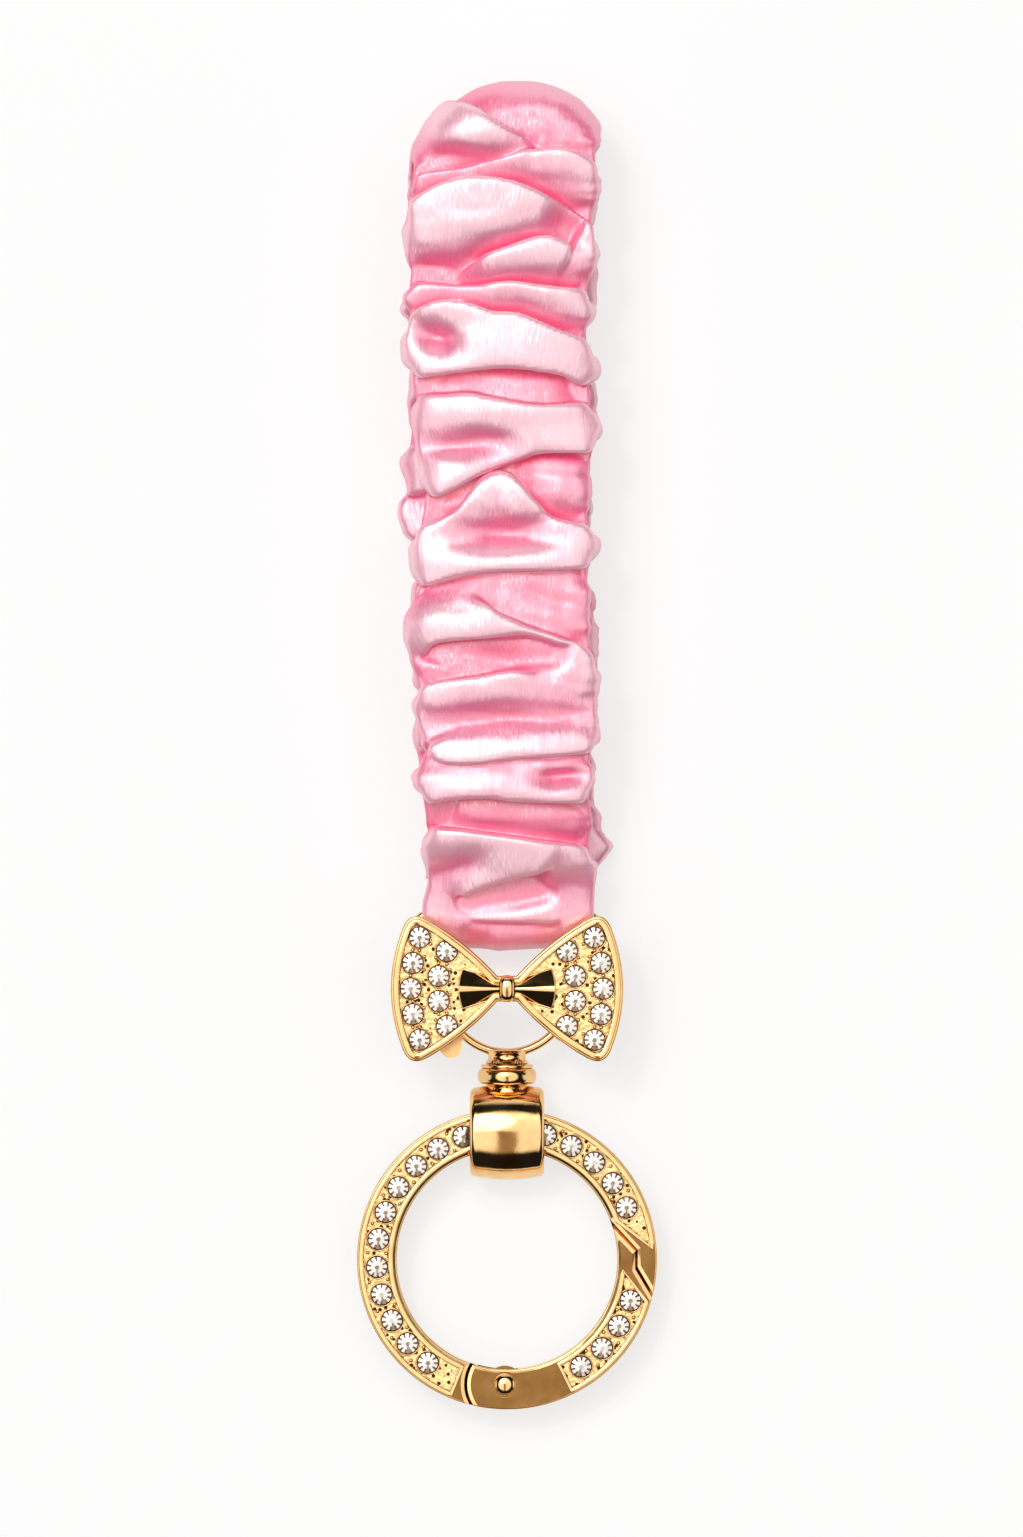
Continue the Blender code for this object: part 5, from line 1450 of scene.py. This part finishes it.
def ringBlank(start, end, steps):
    edge, face, section = ring["edge"], ring["face"], []
    for radius, out, (slopeWide, slopeDrop) in zip((ring["outer"], ring["inner"]), (1, -1), ring["slope"]):
        middle = radius - out * edge
        side = arcPoints((middle, edge - ring["half"]), edge, -90, 0, 8)
        side += arcPoints((middle, face - slopeDrop - edge), edge, 0, 90, 8)
        side = [(middle + out * (r - middle), z) for r, z in side] + [(radius - out * slopeWide, face)]
        section += side if out > 0 else side[::-1]
    return swept(section, (0, 0), start, end, steps)


def roundChamfer(reach, out):  # cuts the upper edge of a round end about the hinge
    wide, deep = ring["chamfer"]
    spare, slope, face = ring["spare"], deep / wide, ring["face"]
    near, far = reach - out * spare, reach + out * (wide + spare)
    section = [(near, face - deep - spare * slope), (far, face + spare * slope), (far, face + 1),
               (near, face + 1)]
    return swept(section, hingeSpot, *ring["endSweep"], 48)


def ringBeads(spots):  # a pair in each gap between two stones
    found = []
    for (ax, ay), (bx, by) in zip(spots, spots[1:]):
        out = Vector((ax + bx, ay + by)).normalized()
        found += [out * (ringMid + shift) for shift in (-ring["beadShift"], ring["beadShift"])]
    return found


def finishCasting(name, bm, bed, spots, body, node):
    # Softened edges, the raised line round the bed, then the lips and grains that hold its stones.
    softenEdges(bm, ring["soft"])
    markSharp(bm, ring["crisp"])
    join(bm, rimCrown(bed, ring["face"], *ring["rim"]))
    addCollets(bm, spots, ring["bed"])
    addBeads(bm, ringBeads(spots), ring["bed"])
    casting(name, bm, ringCentre, body, node, {ring["bed"]: 1})


def makeFrame():
    socket, gateEnd, gap, level = ring["socketEnd"], ring["gateEnd"], ring["latchGap"], ring["lipLevel"]
    half, lip, face, (wide, deep) = ring["half"], ring["lip"][0], ring["face"], ring["chamfer"]
    bedEnd = hingeMeet(socket + ring["frameBlock"], ringMid)
    bed = bedOutline(*((start, bedEnd) for start in ring["frameBed"]), 120)
    spots = stoneSpots(frameNodes, ringCentre)
    near, far, root = gateEnd - lip, socket + ring["spare"], ring["lipRoot"]
    lipSection = [(near, root), (far, root), (far, level), (near, level - ring["lipFall"] * (socket - near))]
    endLip = carved(swept(lipSection, hingeSpot, *ring["endSweep"], 48),
                    [("INTERSECT", ringBlank(*ring["lipSpan"], 64))])
    low, thick = ring["clearance"] - ring["slot"] / 2, ring["tongueThick"]
    tongue = arcPoints((hingeSpot[0] - socket, hingeSpot[1]), ring["tongue"], 90, 270, 16)
    tongue += arcPoints(hingeSpot, ring["tongue"], -90, 90, 16)
    hole = circle(hingeSpot, ring["rivet"] + ring["clearance"], 16)
    bm = carved(ringBlank(ring["frameFrom"], ring["hingeAngle"], 128), [
        ("DIFFERENCE", prism(circle(hingeSpot, socket, 60), -2 * half, 2 * half)),
        ("DIFFERENCE", latchTool(-1, gap, level, 2 * half, ring["lipFall"])),
        ("DIFFERENCE", latchTool(-1, gap, face - deep, face + deep, 0, 2 * wide)),
        ("DIFFERENCE", roundChamfer(socket, 1)),
        ("DIFFERENCE", latchTool(-1, -gap - 2 * lip, -2 * half, level)),
        ("UNION", endLip),
        ("DIFFERENCE", prism(bed, ring["bed"], 2 * half)),
        ("DIFFERENCE", seatTool(spots, ring["bed"])),
        ("UNION", prism(tongue, low, low + thick)),
        ("UNION", prism(circle(hingeSpot, ring["knuckle"], 36), low, low + 2 * thick)),
        ("DIFFERENCE", prism(hole, -half, half))])
    finishCasting("ringFrame", bm, bed, spots, "ring", "ring_frame")


def makeGate():
    end, half, face, gap = ring["gateEnd"], ring["half"], ring["face"], ring["latchGap"]
    cutBack, lipTop, (wide, deep) = ring["lip"][1], ring["lipLevel"] + ring["lip"][2], ring["chamfer"]
    beyond = hingeEnd(ring["endFar"] * end)[::-1]
    bed = bedOutline(*((ring["gateBlock"], stop) for stop in ring["gateBed"]), 40)
    spots = stoneSpots(gateNodes, ringCentre)
    room, far, swing = ring["knuckle"] + ring["knuckleRoom"], 2 * end, ring["slotSwing"]
    slot = arcPoints(hingeSpot, room, -90, swing - 90, 20)
    corner = onCircle(slot[-1], far, swing)
    slot += [corner, (hingeSpot[0] - far, corner[1]), (hingeSpot[0] - far, hingeSpot[1] - room)]
    bore, back = (ring[size] + ring["clearance"] for size in ("rivet", "rivetHead"))
    floor, seat, sink = ring["backSink"] - half, face - ring["sinkDepth"], ring["sink"]
    drill = turned([(0, -half - 1), (back, -half - 1), (back, floor), (bore, floor), (bore, seat),
                    (sink, seat), (sink, half + 1), (0, half + 1)], 40)
    bmesh.ops.translate(drill, vec=(*hingeSpot, 0), verts=drill.verts)
    bm = carved(ringBlank(ring["hingeAngle"] + ring["gateFrom"], ring["gateTo"], 72), [
        ("DIFFERENCE", prism(hingeEnd(end) + beyond, -2 * half, 2 * half)),
        ("DIFFERENCE", prism(hingeEnd(end - cutBack) + beyond, -2 * half, lipTop)),
        ("DIFFERENCE", latchTool(1, gap, -2 * half, 2 * half)),
        ("DIFFERENCE", latchTool(1, gap + 2 * cutBack, -2 * half, lipTop)),
        ("DIFFERENCE", latchTool(1, gap, face - deep, face + deep, 0, 2 * wide)),
        ("DIFFERENCE", roundChamfer(end, -1)),
        ("DIFFERENCE", prism(bed, ring["bed"], 2 * half)),
        ("DIFFERENCE", seatTool(spots, ring["bed"])),
        ("DIFFERENCE", prism(slot, -ring["slot"] / 2, ring["slot"] / 2)),
        ("DIFFERENCE", drill)])
    finishCasting("ringGate", bm, bed, spots, "gate", "ring_gate")


def makeRivet():
    half, head, shank = ring["half"], ring["rivetHead"], ring["rivet"]
    seat, back = ring["face"] - ring["sinkDepth"] + ring["rivetLift"], ring["rivetBack"] - half
    rim, swell = seat + ring["rivetRim"], ring["rivetDome"] / head
    profile = [(0, -half), (head, -half), (head, back), (shank, back), (shank, seat), (head, seat)]
    profile += [(radius, rim + rise * swell) for radius, rise in arcPoints((0, 0), head, 0, 90, 12)[1:-1]]
    profile.append((0, rim + ring["rivetDome"]))
    bm = turned(profile, 48)
    markSharp(bm, 40)
    casting("hingeRivet", bm, ringCentre + Vector((*hingeSpot, 0)) * mm, "ring", "hinge_rivet")


makeFrame()
makeGate()
makeRivet()
print("ring cast")


# Small CAD pieces that only need their finish

def steelMaterial():
    # Drawn spring wire: grey, with fine streaks that break up its shine.
    steel, tree = newMaterial("spring steel wire")
    place = addNode(tree, "TexCoord").outputs["Object"]
    streaks = addNode(tree, "TexNoise", {"Vector": place, "Scale": 1 / (0.2 * mm), "Detail": 3.0})
    rough = addNode(tree, "MapRange", (streaks, 0.0, 1.0, 0.2, 0.45))
    shader = addNode(tree, "BsdfPrincipled", {
        "Base Color": linear("#b9babd"), "Metallic": 1.0, "Roughness": rough})
    addNode(tree, "OutputMaterial", {"Surface": shader})
    return steel


for nodeName, finish in (("swivel_pin", polishedGold), ("gate_spring", steelMaterial())):
    mesh = frame["nodes"][nodeName].data
    mesh.materials.clear()
    mesh.materials.append(finish)
print("pin and spring finished")


# Closing stitches: one thread to and fro over the butt seam, on the outside of the back layer

stitch = {
    "halfWide": 8.0 * mm,
    "count": 20,
    "reach": 1.3 * mm,
    "radius": 0.18 * mm,
    "twist": 0.5 * mm,
    "lay": 0.03 * mm,  # depth of the twist
    "colour": "#e8809c",
}


def threadMaterial():
    # Spun polyester thread: soft, with a fine lay that catches light along each stitch.
    thread, tree = newMaterial("sewing thread")
    place = addNode(tree, "TexCoord").outputs["Object"]
    lay = addNode(tree, "TexWave", {"Vector": place, "Scale": 0.5 / stitch["twist"], "Distortion": 1.5},
                  bands_direction="DIAGONAL").outputs["Fac"]
    raised = addNode(tree, "Bump", {"Height": lay, "Strength": 0.5, "Distance": stitch["lay"]})
    shader = addNode(tree, "BsdfPrincipled", {
        "Base Color": linear(stitch["colour"]), "Roughness": 0.6, "Sheen Weight": 0.3, "Normal": raised})
    addNode(tree, "OutputMaterial", {"Surface": shader})
    return thread


def makeStitches():
    line = strapLine()[0]
    low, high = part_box("closing_stitches")
    along = Vector(line[1] - line[0]).normalized()
    middle = Vector(((low.y + high.y) / 2, (low.z + high.z) / 2))
    points = []
    for k in range(stitch["count"] + 1):
        spot = middle + along * stitch["reach"] * (1 - 2 * (k % 2))
        points.append((stitch["halfWide"] * (2 * k / stitch["count"] - 1), spot.x, spot.y))
    bm = roundWire(points, stitch["radius"], False)
    piece = addPiece("closingStitches", toMesh("closingStitches", bm), [threadMaterial()], "strap")
    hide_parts("closing_stitches")


makeStitches()
print("seam sewn")
